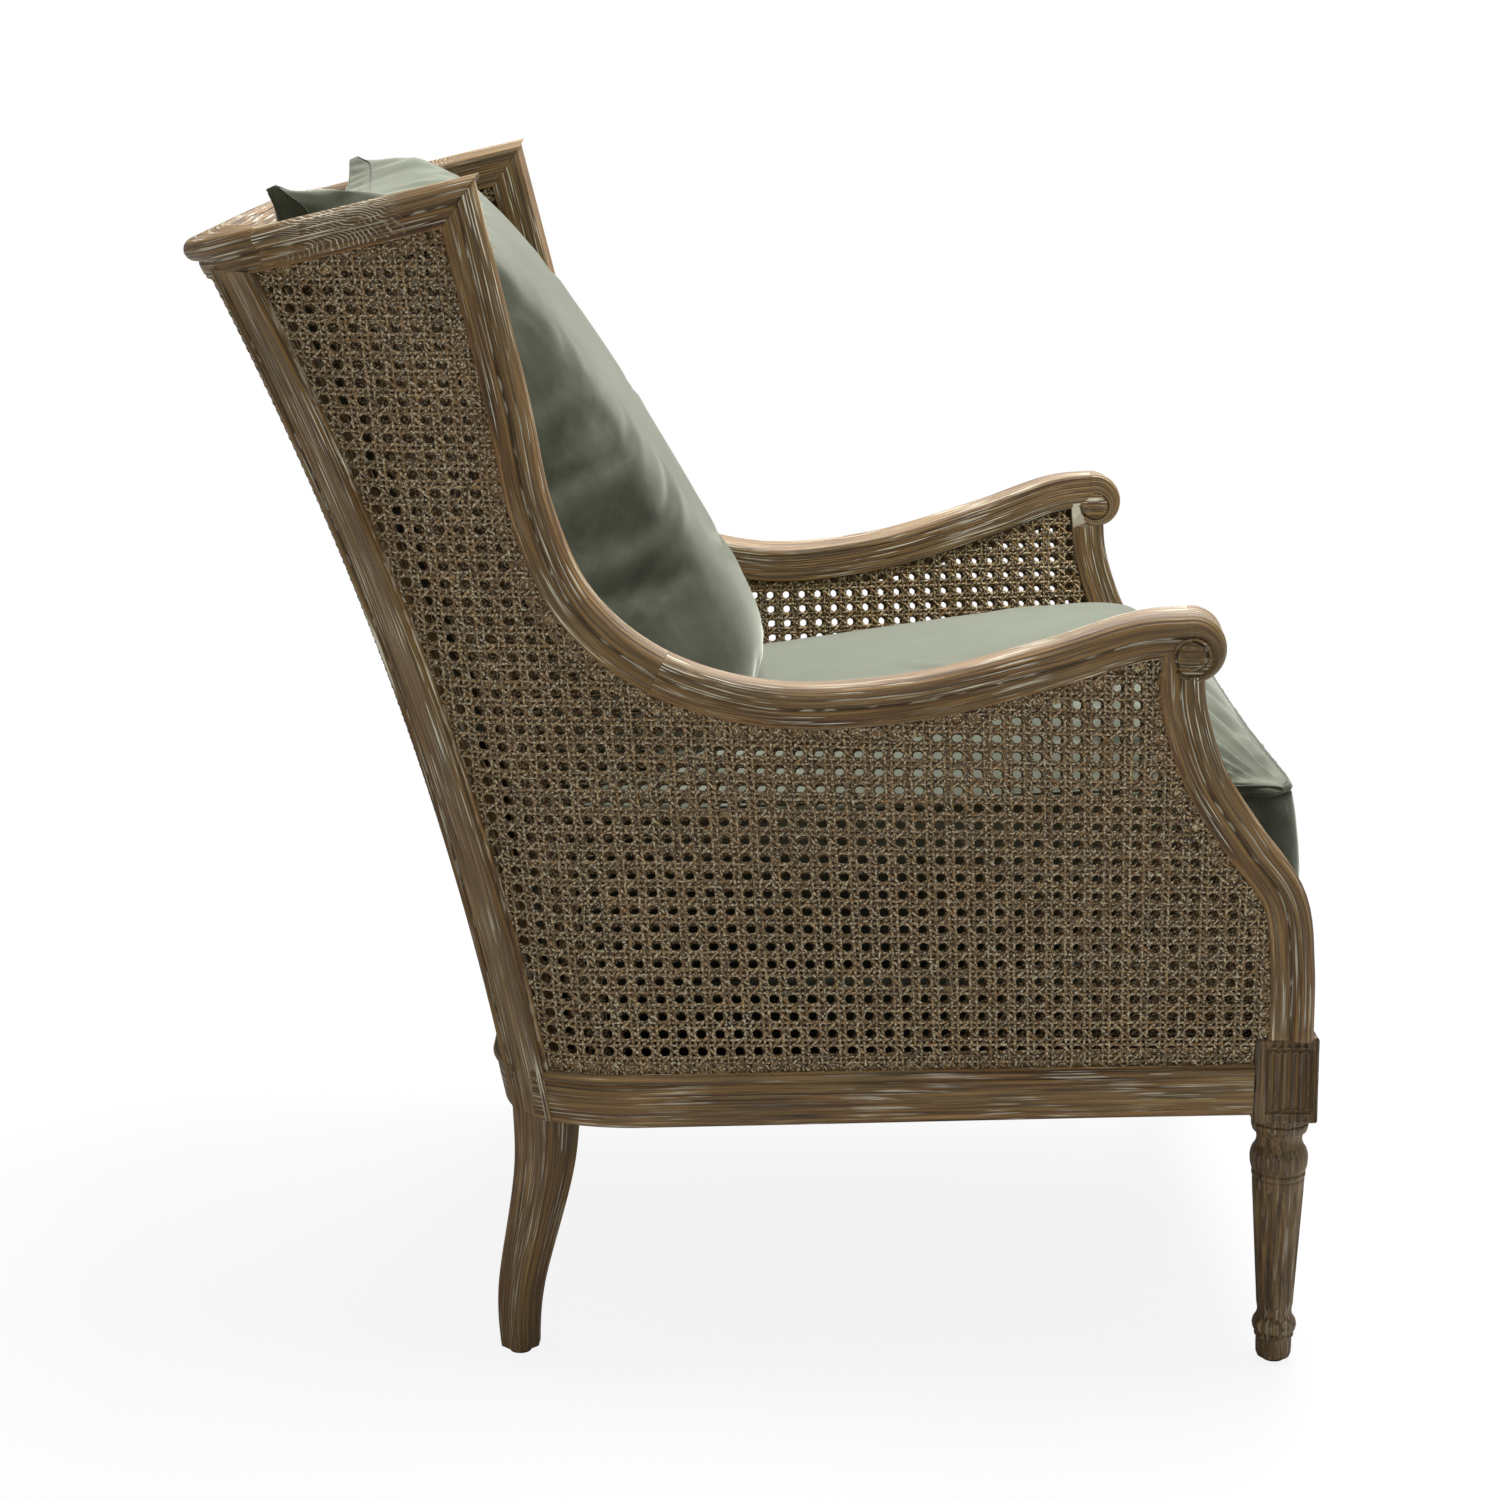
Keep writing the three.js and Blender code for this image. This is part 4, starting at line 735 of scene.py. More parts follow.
def wing_rail_places(steps):
    end = corner_point(CREST_HEADING, corner_top(CREST_HEADING))[1]
    y = np.linspace(end, MITRE_Y, steps + 1)
    return on_side(y, settle(lambda z: np.stack([z * 0, y, z], -1), y))


def crest_places(corner_steps, flat_steps):
    heading = np.linspace(CREST_HEADING, QUARTER, corner_steps + 1)
    bend = on_corner(heading, corner_top(heading))
    xs = bend[0][-1, 0] * (1 - np.arange(1, flat_steps + 1) / flat_steps)
    return mirrored(joined(bend, on_back(xs, np.full_like(xs, bend[0][-1, 2]))))


def crest_joint(gap):
    wing, half = wing_rail_places(6)[0], crest_places(9, 2)[0]
    return butt(np.array([wing[1], wing[0], half[1]]), 1, gap)


end = crest_joint(GAP / 2)
crest = sweep(crest_places(40, 14), moulded(), -1, (end, (end[0] * MIRROR, end[1] * MIRROR)))
dress(mesh_object("crest", lofted(*crest), oak), "crest_rail")
wing_top = sweep(wing_rail_places(24), moulded(), 1, (crest_joint(-GAP / 2), mitre_plane(-GAP / 2)))
both("wing_top", lofted(*wing_top), oak_flame, "wing_top_rail")
upright = sweep(side_places(arm_points, 0, SCARF, 44), moulded(), 1,
                (mitre_plane(GAP / 2), scarf_plane(-GAP / 2)))
both("wing_stile", lofted(*upright), oak, "wing_upright")

# Arm with its scroll
DISC, EYE, CHANNEL, GROOVE = WIDTH - 2 * TORUS, 12.5, 3, 5.8
SCROLL_TURN = 1.25 * math.pi
VOLUTE_START, VOLUTE_END, VOLUTE_SPAN = 14.1, 10.6, 0.93
LIFT = TORUS_PROUD - TORUS


def scroll_frame():
    point, normal = on_side(SCROLL_Y, SCROLL_Z)
    up = arr(0, 0, 1)
    up = unit(up - normal * (up @ normal))
    front = unit(np.cross(up, normal))
    return point, up, -front if front[1] > 0 else front, normal


def scroll_at(turned, radius, out):
    point, up, front, normal = scroll_frame()
    turned, radius, out = (np.asarray(v, float)[..., None] for v in (turned, radius, out))
    return point + up * radius * np.cos(turned) + front * radius * np.sin(turned) + normal * out


def band_section(rim):
    """The torus that goes on round the scroll, from its disc to the rim."""
    half = (rim - DISC) / 2
    section = [(DISC - 2 * LIFT, LIFT)]
    section += [(DISC + half + half * math.cos(a), LIFT + TORUS * math.sin(a))
                for a in np.radians(np.linspace(165, 0, 15))]
    section += [(rim - 0.6 * LIFT, -TORUS), (rim - LIFT, -DEPTH + half / 2 + 1)]
    return section + [(rim - half / 2, -DEPTH), (DISC - 2 * LIFT, -DEPTH)]


def band_share(quarters):
    """Share of the full width that the band keeps, by the quarter turns it has wound."""
    return 0.4 ** (quarters - (1 - math.exp(-2.2 * quarters)) / 2.2)


way = np.diff(catmull(arm_points, [0.9995, 1.0]), axis=0)[0]
start = math.atan2(-way[1], -way[0])
turns = np.linspace(start, SCROLL_TURN, 49)
band = []
for turned in turns:
    s = np.array(band_section(lerp(DISC, WIDTH, band_share((turned - start) / QUARTER))))
    band.append(scroll_at(np.full(len(s), turned), s[:, 0], s[:, 1]))
band = np.array(band)
arm = sweep(side_places(arm_points, SCARF, 1, 60), moulded(), 1, (scarf_plane(GAP / 2), None))
band_run = arm[1][-1, 0, 0] + (turns - start) * 26
band_grain = along_grain(band_run[:, None], np.array(band_section(WIDTH))[None], band)


def disc_shell(levels):
    """A disc from rings (r, out, share): share of the volute's winding radius is added to r."""
    turned = np.linspace(0, 2 * math.pi, 120, endpoint=False)
    wound = ((turned - SCROLL_TURN) / (2 * math.pi)) % 1
    volute = np.interp(wound, [0, VOLUTE_SPAN, 1], [VOLUTE_START, VOLUTE_END, VOLUTE_START])
    shallow = 1 - np.clip(np.minimum(wound / 0.05, (0.92 - wound) / 0.1), 0, 1)
    rings, grain = [], []
    for r, out, share in levels:
        radius = r + share * volute
        high = out + (GROOVE - out) * shallow if 0 < out < GROOVE - 2 else out
        rings.append(scroll_at(turned, radius, high + 0 * turned))
        spots = (radius * np.sin(turned), radius * np.cos(turned), turned * 0 + out)
        grain.append(np.stack(spots, -1))
    return lofted(np.array(rings), np.array(grain))


rear = [(EYE * c, -DEPTH - 1.2 * (1 - c * c), 0) for c in (0.02, 0.4, 0.8, 1)]
rear += [(EYE, -DEPTH + CHANNEL, 0), (DISC, -DEPTH + CHANNEL, 0)]
face = [(DISC, 5, 0), (DISC - 0.4, GROOVE, 0)]
face += [(1.35, GROOVE, 1), (0.75, 2.6, 1), (-0.75, 2.6, 1), (-1.35, GROOVE, 1)]
face += [(-1.35 * c, GROOVE + 2.4 * (1 - c * c), c) for c in (0.9, 0.7, 0.45, 0.2, 0.02)]
arm_shell, band_shell = lofted(*arm), lofted(band, band_grain)
both("arm", merged([arm_shell, band_shell, disc_shell(rear + face)]), oak, "arm_rail")

# Support, cut to the underside of the arm
support_places = side_places(support_points, 0, 1, 40)
support_ends = (butt(support_places[0], 0, -TENON), (arr(0, 0, BLOCK_TOP), arr(0, 0, 1)))
support = sweep(support_places, moulded(), 1, support_ends)
supports = both("support", lofted(*support), oak, "arm_support")
cutter_shells = (arm_shell, band_shell, disc_shell([(DISC, -60, 0), (DISC, 40, 0)]))
cutters = [mesh_object("cutter", shell, oak) for shell in cutter_shells]
for side, o in zip((1, -1), supports):
    mark_relief(o)
    before = read_points(o)
    grain = read_rows(o.data.attributes["grain"].data, "vector")
    relief = read_rows(o.data.attributes["relief"].data, "value", 1)[:, 0]
    for cutter in cutters:
        cutter.scale.x = side
        m = o.modifiers.new("cut", "BOOLEAN")
        m.object = cutter
        m.solver = "EXACT"
    apply_modifiers(o)
    tree = KDTree(len(before))
    for i, point in enumerate(before):
        tree.insert(point, i)
    tree.balance()
    nearest = [tree.find(point)[1] for point in read_points(o)]
    mark(o, "grain", grain[nearest])
    mark(o, "relief", relief[nearest])
    smooth_but_for_edges(o.data, SHARP)
for cutter in cutters:
    bpy.data.objects.remove(cutter)

# Back post: a stile with beaded edges that runs down into a sabre leg
SABRE_TOP, SABRE_FOOT, SABRE_X = 41, 24.5, 317


def post_ring(centre, outline, outset):
    out = arr(math.cos(POST_HEADING), math.sin(POST_HEADING), 0)
    across = arr(-math.sin(POST_HEADING), math.cos(POST_HEADING), 0)
    o = np.array(outline, float)
    return centre + across * o[:, :1] + out * (o[:, 1:] + outset)


def post_outline():
    """The stile's face with a bead on each edge, and its tapered rear."""
    w, bead = POST_WIDTH / 2, POST_BEAD
    left = [(-w, -2)] + arc(-w + bead, 0.4, bead, 180, 10, 8)
    left += [(-w + 2 * bead + 0.9, -0.9), (-w + 2 * bead + 2, 0)]
    right = [(-a, b) for a, b in reversed(left)]
    tail = [(w, -POST_DEPTH * 0.45), (w * 0.62, -POST_DEPTH)]
    return left + right + tail + [(-a, b) for a, b in reversed(tail)]


def sabre_centre(z):
    """The leg's centre at a height, on an even Catmull-Rom curve of (share down, y) points."""
    top = corner_point(POST_HEADING, float(RAIL_TOP))
    t = (RAIL_TOP - z) / (RAIL_TOP - GLIDE)
    waist = (RAIL_TOP - 172) / (RAIL_TOP - GLIDE)
    curve = np.array([(0, top[1]), (waist, 180), (lerp(waist, 1, 0.66), 198), (1, 198)])

    def uniform(k):
        i = min(int(k * 3), 2)
        f = k * 3 - i
        p = [curve[max(i - 1, 0)], curve[i], curve[i + 1], curve[min(i + 2, 3)]]
        v0, v1 = (p[2] - p[0]) / 2, (p[3] - p[1]) / 2
        square, cube = -3 * p[1] + 3 * p[2] - 2 * v0 - v1, 2 * p[1] - 2 * p[2] + v0 + v1
        return cube * f**3 + square * f**2 + v0 * f + p[1]

    low, high = 0.0, 1.0
    for _ in range(HALVINGS):
        k = (low + high) / 2
        low, high = (k, high) if uniform(k)[0] < t else (low, k)
    return arr(lerp(top[0], SABRE_X, t), uniform(low)[1], z)


sabre_outline = [(-1, -0.09), (-0.985, -0.03), (-0.93, 0)]
sabre_outline += [(a, 0) for a in (-0.6, -0.2, 0.2, 0.6)]
sabre_outline += [(0.93, 0), (0.985, -0.03), (1, -0.09), (1, -0.5), (1, -0.94), (0.94, -1)]
sabre_outline += [(-0.94, -1), (-1, -0.94), (-1, -0.5)]
POST_LOW = REAR_RAIL_TOP - RAIL_H


def sabre():
    rings = []
    for t in np.linspace(0, 1, 40):
        size = lerp(SABRE_FOOT, SABRE_TOP, min(1, t / 0.95))
        if t < 0.02:
            size -= 1.2
        centre = sabre_centre(lerp(GLIDE + GAP, POST_LOW + 3, t))
        rings.append(post_ring(centre, [(a * size / 2, b * size) for a, b in sabre_outline], 0))
    rings = np.array(rings)
    across = np.array(sabre_outline)[None] * (20, 38)
    return lofted(rings, along_grain(rings[..., 2], across, rings))


def stile():
    high = float(corner_top(POST_HEADING))
    outline = post_outline()
    heights = [lerp(POST_LOW + 2.5, high + 4, t) for t in np.linspace(0, 1, 40)]
    rings = np.array([post_ring(corner_point(POST_HEADING, z), outline, PROUD) for z in heights])
    return lofted(rings, along_grain(rings[..., 2], np.array(outline)[None], rings))


both("post", merged([stile(), sabre()]), oak, "back_post")

# Seat rails
heads = np.linspace(0, POST_HEADING - POST_HALF / 2, 22)
rail_y = arr(BLOCK_REAR + GAP, -300, -180, -60)
bend_y = corner_point(heads, float(RAIL_TOP))[:, 1]
rail_places = joined(on_side(rail_y, rail_top_at(rail_y)), on_corner(heads, rail_top_at(bend_y)))
side_rail = sweep(rail_places, rail_section(), 1, ((rail_places[0][0], arr(0, 1, 0)), None))
both("seat_rail", lofted(*side_rail), oak, "side_rail")
heads = np.linspace(POST_HEADING + POST_HALF / 2, QUARTER, 20)
back_rail = sweep(spanned(on_corner(heads, np.full(20, REAR_RAIL_TOP))), rail_section())
dress(mesh_object("rear_seat_rail", lofted(*back_rail), oak), "back_rail")

# Front legs: a reeded block over a turned and fluted leg
LEG_X, LEG_Y, LEG_R = BLOCK_X - BLOCK / 2, FRONT_Y + BLOCK / 2, 24.5
turning = [
    (0, 0.98), (0.022, 0.98), (0.025, 0.93), (0.029, 0.93), (0.032, 0.99), (0.045, 0.98),
    (0.064, 0.93), (0.07, 0.86), (0.082, 0.8), (0.1, 0.78), (0.118, 0.82), (0.14, 0.94),
    (0.158, 0.99), (0.175, 1.0), (0.2, 0.985), (0.222, 0.94), (0.227, 0.88), (0.232, 0.88),
    (0.236, 0.93), (0.25, 0.925), (0.253, 0.87), (0.258, 0.87), (0.262, 0.9), (0.3, 0.885),
    (0.78, 0.63), (0.8, 0.6), (0.815, 0.595), (0.83, 0.63), (0.85, 0.74), (0.868, 0.77),
    (0.888, 0.73), (0.896, 0.65), (0.9, 0.65), (0.904, 0.68), (0.914, 0.68), (0.918, 0.615),
    (0.95, 0.62), (0.985, 0.61), (1.0, 0.56),
]


FLUTES, FLUTE_DEPTH, FLUTE_TOP, FLUTE_END = 12, 1.6, 0.29, 0.78


def turned_leg():
    """The turning, a little rounded in all its nooks, with flutes down its taper."""
    top = BLOCK_LOW + GAP
    length = top - GLIDE - GAP
    at, radius = np.array(turning).T
    spans = ((0, 0.3, 100), (0.3, 0.8, 50), (0.8, 1, 70))
    drops = np.unique(np.concatenate([at] + [np.linspace(*span) for span in spans]))
    blur = np.exp(-((drops[:, None] - drops[None]) / 0.0026) ** 2) * np.gradient(drops)[None]
    radii = (blur @ np.interp(drops, at, radius)) / blur.sum(1) * LEG_R
    turned = np.linspace(0, 2 * math.pi, FLUTES * 12, endpoint=False)
    phase = np.abs(((turned * FLUTES / (2 * math.pi)) % 1) - 0.5) * 2
    fade = np.clip(np.minimum(drops - FLUTE_TOP, FLUTE_END - drops) / 0.02, 0, 1) ** 0.5
    groove = np.clip((phase - 0.5) / 0.5, 0, 1)
    r = radii[:, None] - FLUTE_DEPTH * np.sin(groove * QUARTER)[None] * fade[:, None]
    z = (top - drops * length)[:, None] + 0 * r
    rings = np.stack([LEG_X + r * np.cos(turned), LEG_Y + r * np.sin(turned), z], -1)
    across = np.stack([rings[..., 0] + rings[..., 1], rings[..., 0] - rings[..., 1]], -1)
    return lofted(rings, along_grain(rings[..., 2], across * 0.7, rings))


PANEL_HALF, PANEL_TALL, REED = 20, 28, 6.67
BORDER, SPLIT_AT, ARRIS, POINTS = 1.6, 22.2, 1.6, 54


def sunk_panel(along, centre, up, turned):
    """How deep one face of the block is cut: a border, reeds inside it and a split beside it."""
    a = np.abs(along - centre)
    rim = np.maximum(a - PANEL_HALF, up - PANEL_TALL)
    border = np.clip(1 - np.abs(rim + BORDER) / BORDER, 0, 1)
    reeds = 0.5 - 0.5 * np.cos(2 * math.pi * (along - centre + PANEL_HALF) / REED)
    inside = np.clip((-rim - 3.0) / 0.8, 0, 1)
    above = np.clip((up - PANEL_TALL - 1.5) / 0.8, 0, 1) * np.clip((PANEL_HALF - a) / 2, 0, 1)
    split = np.exp(-(((along - centre) * turned + SPLIT_AT) / 0.7) ** 2)
    return 2.4 * border**0.6 + (inside + above) * (0.3 + 2.1 * (1 - reeds) ** 2) + 1.6 * split


def block_shell():
    """A square block whose outer and front faces hold a sunk border round a reeded panel."""
    half = BLOCK / 2
    f, edge = np.linspace(-half + ARRIS, half - ARRIS, POINTS), np.full(POINTS, half)
    sides = ((edge, f), (-f, edge), (-edge, -f), (f, -edge))
    perimeter = np.vstack([np.stack(pair, 1) for pair in sides])
    outward = np.repeat(arr((1, 0), (0, 1), (-1, 0), (0, -1)), POINTS, 0)
    along = np.concatenate([f, -f, -f, f])
    low, high = BLOCK_LOW, BLOCK_TOP - GAP
    heights = np.concatenate([[low], np.linspace(low + ARRIS, high - ARRIS, 74), [high]])
    rings = []
    for z in heights:
        off = np.full(len(perimeter), 1.2 if z in (low, high) else 0.0)
        for face, centre, turned in ((0, -2, 1), (3, 2, -1)):
            rows = slice(face * POINTS, (face + 1) * POINTS)
            up = abs(z - (BLOCK_LOW + BLOCK_TOP) / 2)
            off[rows] += sunk_panel(along[rows], centre, up, turned)
        p = perimeter - outward * off[:, None]
        rings.append(np.column_stack([p[:, 0] + LEG_X, p[:, 1] + LEG_Y, np.full(len(p), z)]))
    rings = np.array(rings)
    return lofted(rings, rings[..., [2, 0, 1]])


both("leg", merged([block_shell(), turned_leg()]), oak_shaded_leg, "front_leg", 42)

# Woven cane: a six-way weave of pairs upright and level and single diagonals between them
CELL_S, CELL_Z = 15.6, 14.9
PAIR, STRAND, THICK = 0.156, 2.85, 1.0
LAYER, SKIN, SHORTEST = 30, 1.2, 2
LIFT_PAIR, LIFT_DIAGONAL = 0.65, 1.1
STRAND_TONES = (0.72, 1.2)


def polyline(points, y):
    order = np.argsort(points[:, 0])
    return np.interp(y, points[order, 0], points[order, 1])


arm_line = catmull(arm_points, np.linspace(0, 1, 240))
support_line = catmull(support_points, np.linspace(0, 1, 120))
FIRST_SIDE, LAST_SIDE = POST_HEADING - POST_HALF, POST_HEADING + POST_HALF
post_z = np.linspace(200, 960, 200)
post_front = np.stack([corner_point(FIRST_SIDE, post_z)[:, 1], post_z], 1)
back_headings = np.linspace(LAST_SIDE, QUARTER, 30)
back_rim = corner_point(back_headings, corner_top(back_headings))[::-1]


def side_room(y, z):
    """How far a point of the side panel is inside its beads, up or down the panel."""
    arm = polyline(arm_line, y)
    top = np.where(y < HEAD_Y, polyline(support_line, y), np.where(y < MITRE_Y, arm, top_line(y)))
    low = np.where(y < BLOCK_REAR, BLOCK_TOP, rail_top_at(y))
    low = np.maximum(low, np.where(y < post_front[0, 0], 0, polyline(post_front, y)))
    return np.minimum(np.minimum(top - z, z - low), (y - FOOT_Y) * 3)


def back_room(x, z):
    edge = corner_point(LAST_SIDE, z)[..., 0]
    top = np.interp(np.abs(x), back_rim[:, 0], back_rim[:, 2])
    return np.minimum(np.minimum(top - z, z - REAR_RAIL_TOP), (edge - np.abs(x)) * 3)


def gridded(surface, us, vs):
    """A surface sampled once, then read between its samples."""
    grids = surface(us[:, None] + 0 * vs, vs[None] + 0 * us[:, None])

    def read(u, v):
        i = np.clip((u - us[0]) / (us[1] - us[0]), 0, len(us) - 1.001)
        j = np.clip((v - vs[0]) / (vs[1] - vs[0]), 0, len(vs) - 1.001)
        i0, j0 = i.astype(int), j.astype(int)
        a, b = (i - i0)[:, None], (j - j0)[:, None]
        points, normals = (lerp(lerp(g[i0, j0], g[i0 + 1, j0], a),
                                lerp(g[i0, j0 + 1], g[i0 + 1, j0 + 1], a), b) for g in grids)
        return points, unit(normals)
    return read


def inside_runs(rows, spare):
    """The parts of a line of (u, v, lift) samples where spare is above 0, cut off at its zeros."""
    edges = np.flatnonzero(np.diff(np.concatenate([[0], (spare > 0).astype(int), [0]])))
    for i, j in zip(edges[::2], edges[1::2]):
        part = [rows[i:j]]
        if i > 0:
            part.insert(0, lerp(rows[i], rows[i - 1], spare[i] / (spare[i] - spare[i - 1]))[None])
        if j < len(rows):
            part.append(lerp(rows[j - 1], rows[j], spare[j - 1] / (spare[j - 1] - spare[j]))[None])
        run = np.vstack(part)
        if len(run) > 1 and np.ptp(run[:, 0]) + np.ptp(run[:, 1]) > SHORTEST:
            yield run


def strands(to_chart, room, a_span, b_span, steps):
    """Runs of (u, v, lift) samples of every strand that lies inside the panel."""
    (a0, a1), (b0, b1) = a_span, b_span
    whole_a, whole_b = (np.arange(math.floor(low), math.ceil(high))
                        for low, high in (a_span, b_span))
    turn = 2 * math.pi
    lines = []
    for sign in (-1, 1):
        b = np.arange(b0, b1, 1 / steps)
        lift = sign * LIFT_PAIR * np.sin(turn * (b - 0.5))
        lines += [(np.full_like(b, n + 0.5 + sign * PAIR), b, lift) for n in whole_a]
        a = np.arange(a0, a1, 1 / steps)
        lift = -sign * LIFT_PAIR * np.sin(turn * (a - 0.5))
        lines += [(a, np.full_like(a, n + 0.5 + sign * PAIR), lift) for n in whole_b]
        reach = abs(b1) + abs(b0)
        for c in range(math.floor(a0 - reach) - 1, math.ceil(a1 + reach) + 1):
            b = sign * (a - c - 0.5)
            keep = (b > b0) & (b < b1)
            if keep.sum() > 1:
                lift = sign * LIFT_DIAGONAL * np.cos(turn * (a[keep] - 0.5))
                lines.append((a[keep], b[keep], lift))
    runs = []
    for a, b, lift in lines:
        u, v = to_chart(a, b)
        runs += inside_runs(np.stack([u, v, lift], 1), room(u, v))
    return runs


flat_strand = arr((-0.5, -0.35), (-0.27, 0.4), (0.27, 0.4), (0.5, -0.35))
plain_strand = arr((-0.58, -0.35), (0, 0.5), (0.58, -0.35))


def weave(runs, read, depth, way, section):
    """One mesh of all the strands: points, quads and a tone for each strand."""
    rng = np.random.default_rng(7)
    rows = np.vstack(runs)
    points, normals = read(rows[:, 0], rows[:, 1])
    points = points - normals * depth + normals * way * rows[:, 2:3]
    starts = np.cumsum([0] + [len(r) for r in runs])
    tones, rings, quads = [], [], []
    count = len(section)
    k = np.arange(count)[None]
    follow = (k + 1) % count
    for i, j in zip(starts, starts[1:]):
        p, n = points[i:j], normals[i:j] * way
        across = unit(np.cross(unit(np.gradient(p, axis=0)), n))
        wide, thick = section[None, :, :1] * STRAND, section[None, :, 1:] * THICK
        rings.append((p[:, None] + across[:, None] * wide + n[:, None] * thick).reshape(-1, 3))
        tones.append(np.full((j - i) * count, rng.uniform(*STRAND_TONES)))
        r = np.arange(i, j - 1)[:, None] * count
        corners = (r + k, r + follow, r + count + follow, r + count + k)
        quads.append(np.stack(corners, -1).reshape(-1, 4))
    return np.vstack(rings), np.vstack(quads), np.concatenate(tones)


# The weave's upright strands fan back with height, as the photographed sheet does. The inner
# sheet is set off from the outer one, so that the holes of the far side line up.
FIRST_ROW_Z, FIRST_HOLE_Y = 297, -419
FAN = math.tan(math.radians(7)) / 770
INNER_OFFSET = (1.4, 5.9)


def side_chart(a, b):
    s, z = FIRST_HOLE_Y + a * CELL_S, FIRST_ROW_Z + b * CELL_Z
    return s + FAN * (s + 430) * (z - FIRST_ROW_Z), z


def inner_side_chart(a, b):
    return tuple(v + off for v, off in zip(side_chart(a, b), INNER_OFFSET))


def back_chart(a, b):
    return (a + 0.5) * CELL_S, FIRST_ROW_Z + b * CELL_Z


side_read = gridded(on_side, np.linspace(-470, 420, 120), np.linspace(250, 990, 100))
back_read = gridded(on_back, np.linspace(-330, 330, 120), np.linspace(250, 940, 90))


def cane_panel(sheet, inner, chart, room, a_span, b_span, read, sides):
    """A woven sheet in a few pieces, cut across at whole cells."""
    kind = "inner" if inner else "outer"
    outer_kind, inner_kind = (4, flat_strand, cane_outer, 2), (3, plain_strand, cane_inner, 1)
    steps, section, mat, cuts = inner_kind if inner else outer_kind
    depth, way = (LAYER + SKIN, -1) if inner else (SKIN, 1)
    marks = np.linspace(*a_span, cuts + 1)
    for i, (low, high) in enumerate(zip(marks, marks[1:])):
        def part_room(u, v):
            spare = room(u, v)
            if i > 0:
                spare = np.minimum(spare, u - chart(low, 0)[0])
            if i < cuts - 1:
                spare = np.minimum(spare, chart(high, 0)[0] - u)
            return spare
        runs = strands(chart, part_room, a_span, b_span, steps)
        points, quads, tones = weave(runs, read, depth, way, section)
        for side in sides:
            p, q = (points * MIRROR, quads[:, ::-1]) if side == "right_" else (points, quads)
            o = fast_mesh(f"{side}{kind}_{sheet}_weave_{i + 1}", p, q, mat)
            mark(dress(o, f"{side}{kind}_{sheet}_cane"), "tone", tones)


for inner in (False, True):
    chart = inner_side_chart if inner else side_chart
    cane_panel("side", inner, chart, side_room, (-2.5, 52), (-2.5, 46), side_read,
               ("left_", "right_"))
    cane_panel("back", inner, back_chart, back_room, (-21, 20), (-2.5, 43), back_read, ("",))

# Bead along every edge of the cane, with a rabbet behind it that closes the last row
bead_section = [(-1.2, -2.6)] + arc(0.6, 1.2, 1.8, 180, 0, 7) + [(2.4, -2.6)]
rabbet_section = [(-15.5, -4.6), (-15.5, -3.6), (2, -3.6), (2, -4.6)]
top_heads = np.linspace(FIRST_SIDE, 0, 8)
top_corner = on_corner(top_heads, corner_top(top_heads))
flat_y = np.linspace(corner_point(0, top_corner[0][-1, 2])[1] - 4, MITRE_Y, 8)
rail_heads = np.linspace(0, FIRST_SIDE, 12)
rail_y = np.linspace(BLOCK_REAR, corner_point(0, RAIL_TOP)[1] - 10, 12)
bend_y = corner_point(rail_heads, float(RAIL_TOP))[:, 1]
back_heads = np.linspace(LAST_SIDE, QUARTER, 16)


def post_edge(heading):
    z = np.linspace(REAR_RAIL_TOP, float(corner_top(heading)), 30)
    return on_corner(np.full(30, heading), z)


side_edges = [
    (side_places(arm_points, 0, 0.985, 90), 1),
    (side_places(support_points, 0.02, 1, 40), 1),
    (joined(top_corner, on_side(flat_y, top_line(flat_y))), 1),
    (joined(on_side(rail_y, rail_top_at(rail_y)), on_corner(rail_heads, rail_top_at(bend_y))), 1),
    (post_edge(FIRST_SIDE), -1),
]
span_edges = [
    (spanned(on_corner(back_heads, corner_top(back_heads))), -1),
    (spanned(on_corner(back_heads, np.full(16, REAR_RAIL_TOP))), 1),
]


def edge_shells(edges, section):
    return merged([lofted(*sweep(places, section, side)) for places, side in edges])


both("cane_bead", edge_shells(side_edges, bead_section), bead_oak, angle=60)
rabbets = both("cane_rabbet", edge_shells(side_edges, rabbet_section), cane_inner)
both("back_bead", edge_shells([(post_edge(LAST_SIDE), 1)], bead_section), bead_oak, angle=60)
dress(mesh_object("crest_bead", edge_shells(span_edges, bead_section), bead_oak, 60), None)
crest_rabbet = mesh_object("crest_rabbet", edge_shells(span_edges, rabbet_section), cane_inner)
for o in rabbets + [dress(crest_rabbet, None)]:
    mark(o, "tone", np.ones(len(o.data.vertices)))

# Nodes of the seat frame, the webbing and the glides, carried over
def carry(node, mat, bevel=0.0):
    o = frame["nodes"][node]
    o.data.materials.clear()
    o.data.materials.append(mat)
    if bevel:
        m = o.modifiers.new("edges", "BEVEL")
        m.width = bevel * MM
        m.segments = 2
        m.limit_method = "ANGLE"
        m.angle_limit = math.radians(40)
        m.harden_normals = False


carry("front_rail", oak_across, 1.4)
carry("deck_frame", plain_oak, 0.8)
for hand in ("left", "right"):
    carry(f"{hand}_front_corner_block", plain_oak, 1.0)
    carry(f"{hand}_rear_corner_block", plain_oak, 1.0)
    carry(f"{hand}_front_glide", nylon)
    carry(f"{hand}_back_glide", nylon)
for number in range(1, 6):
    carry(f"long_strap_{number}", jute)
    carry(f"cross_strap_{number}", jute)

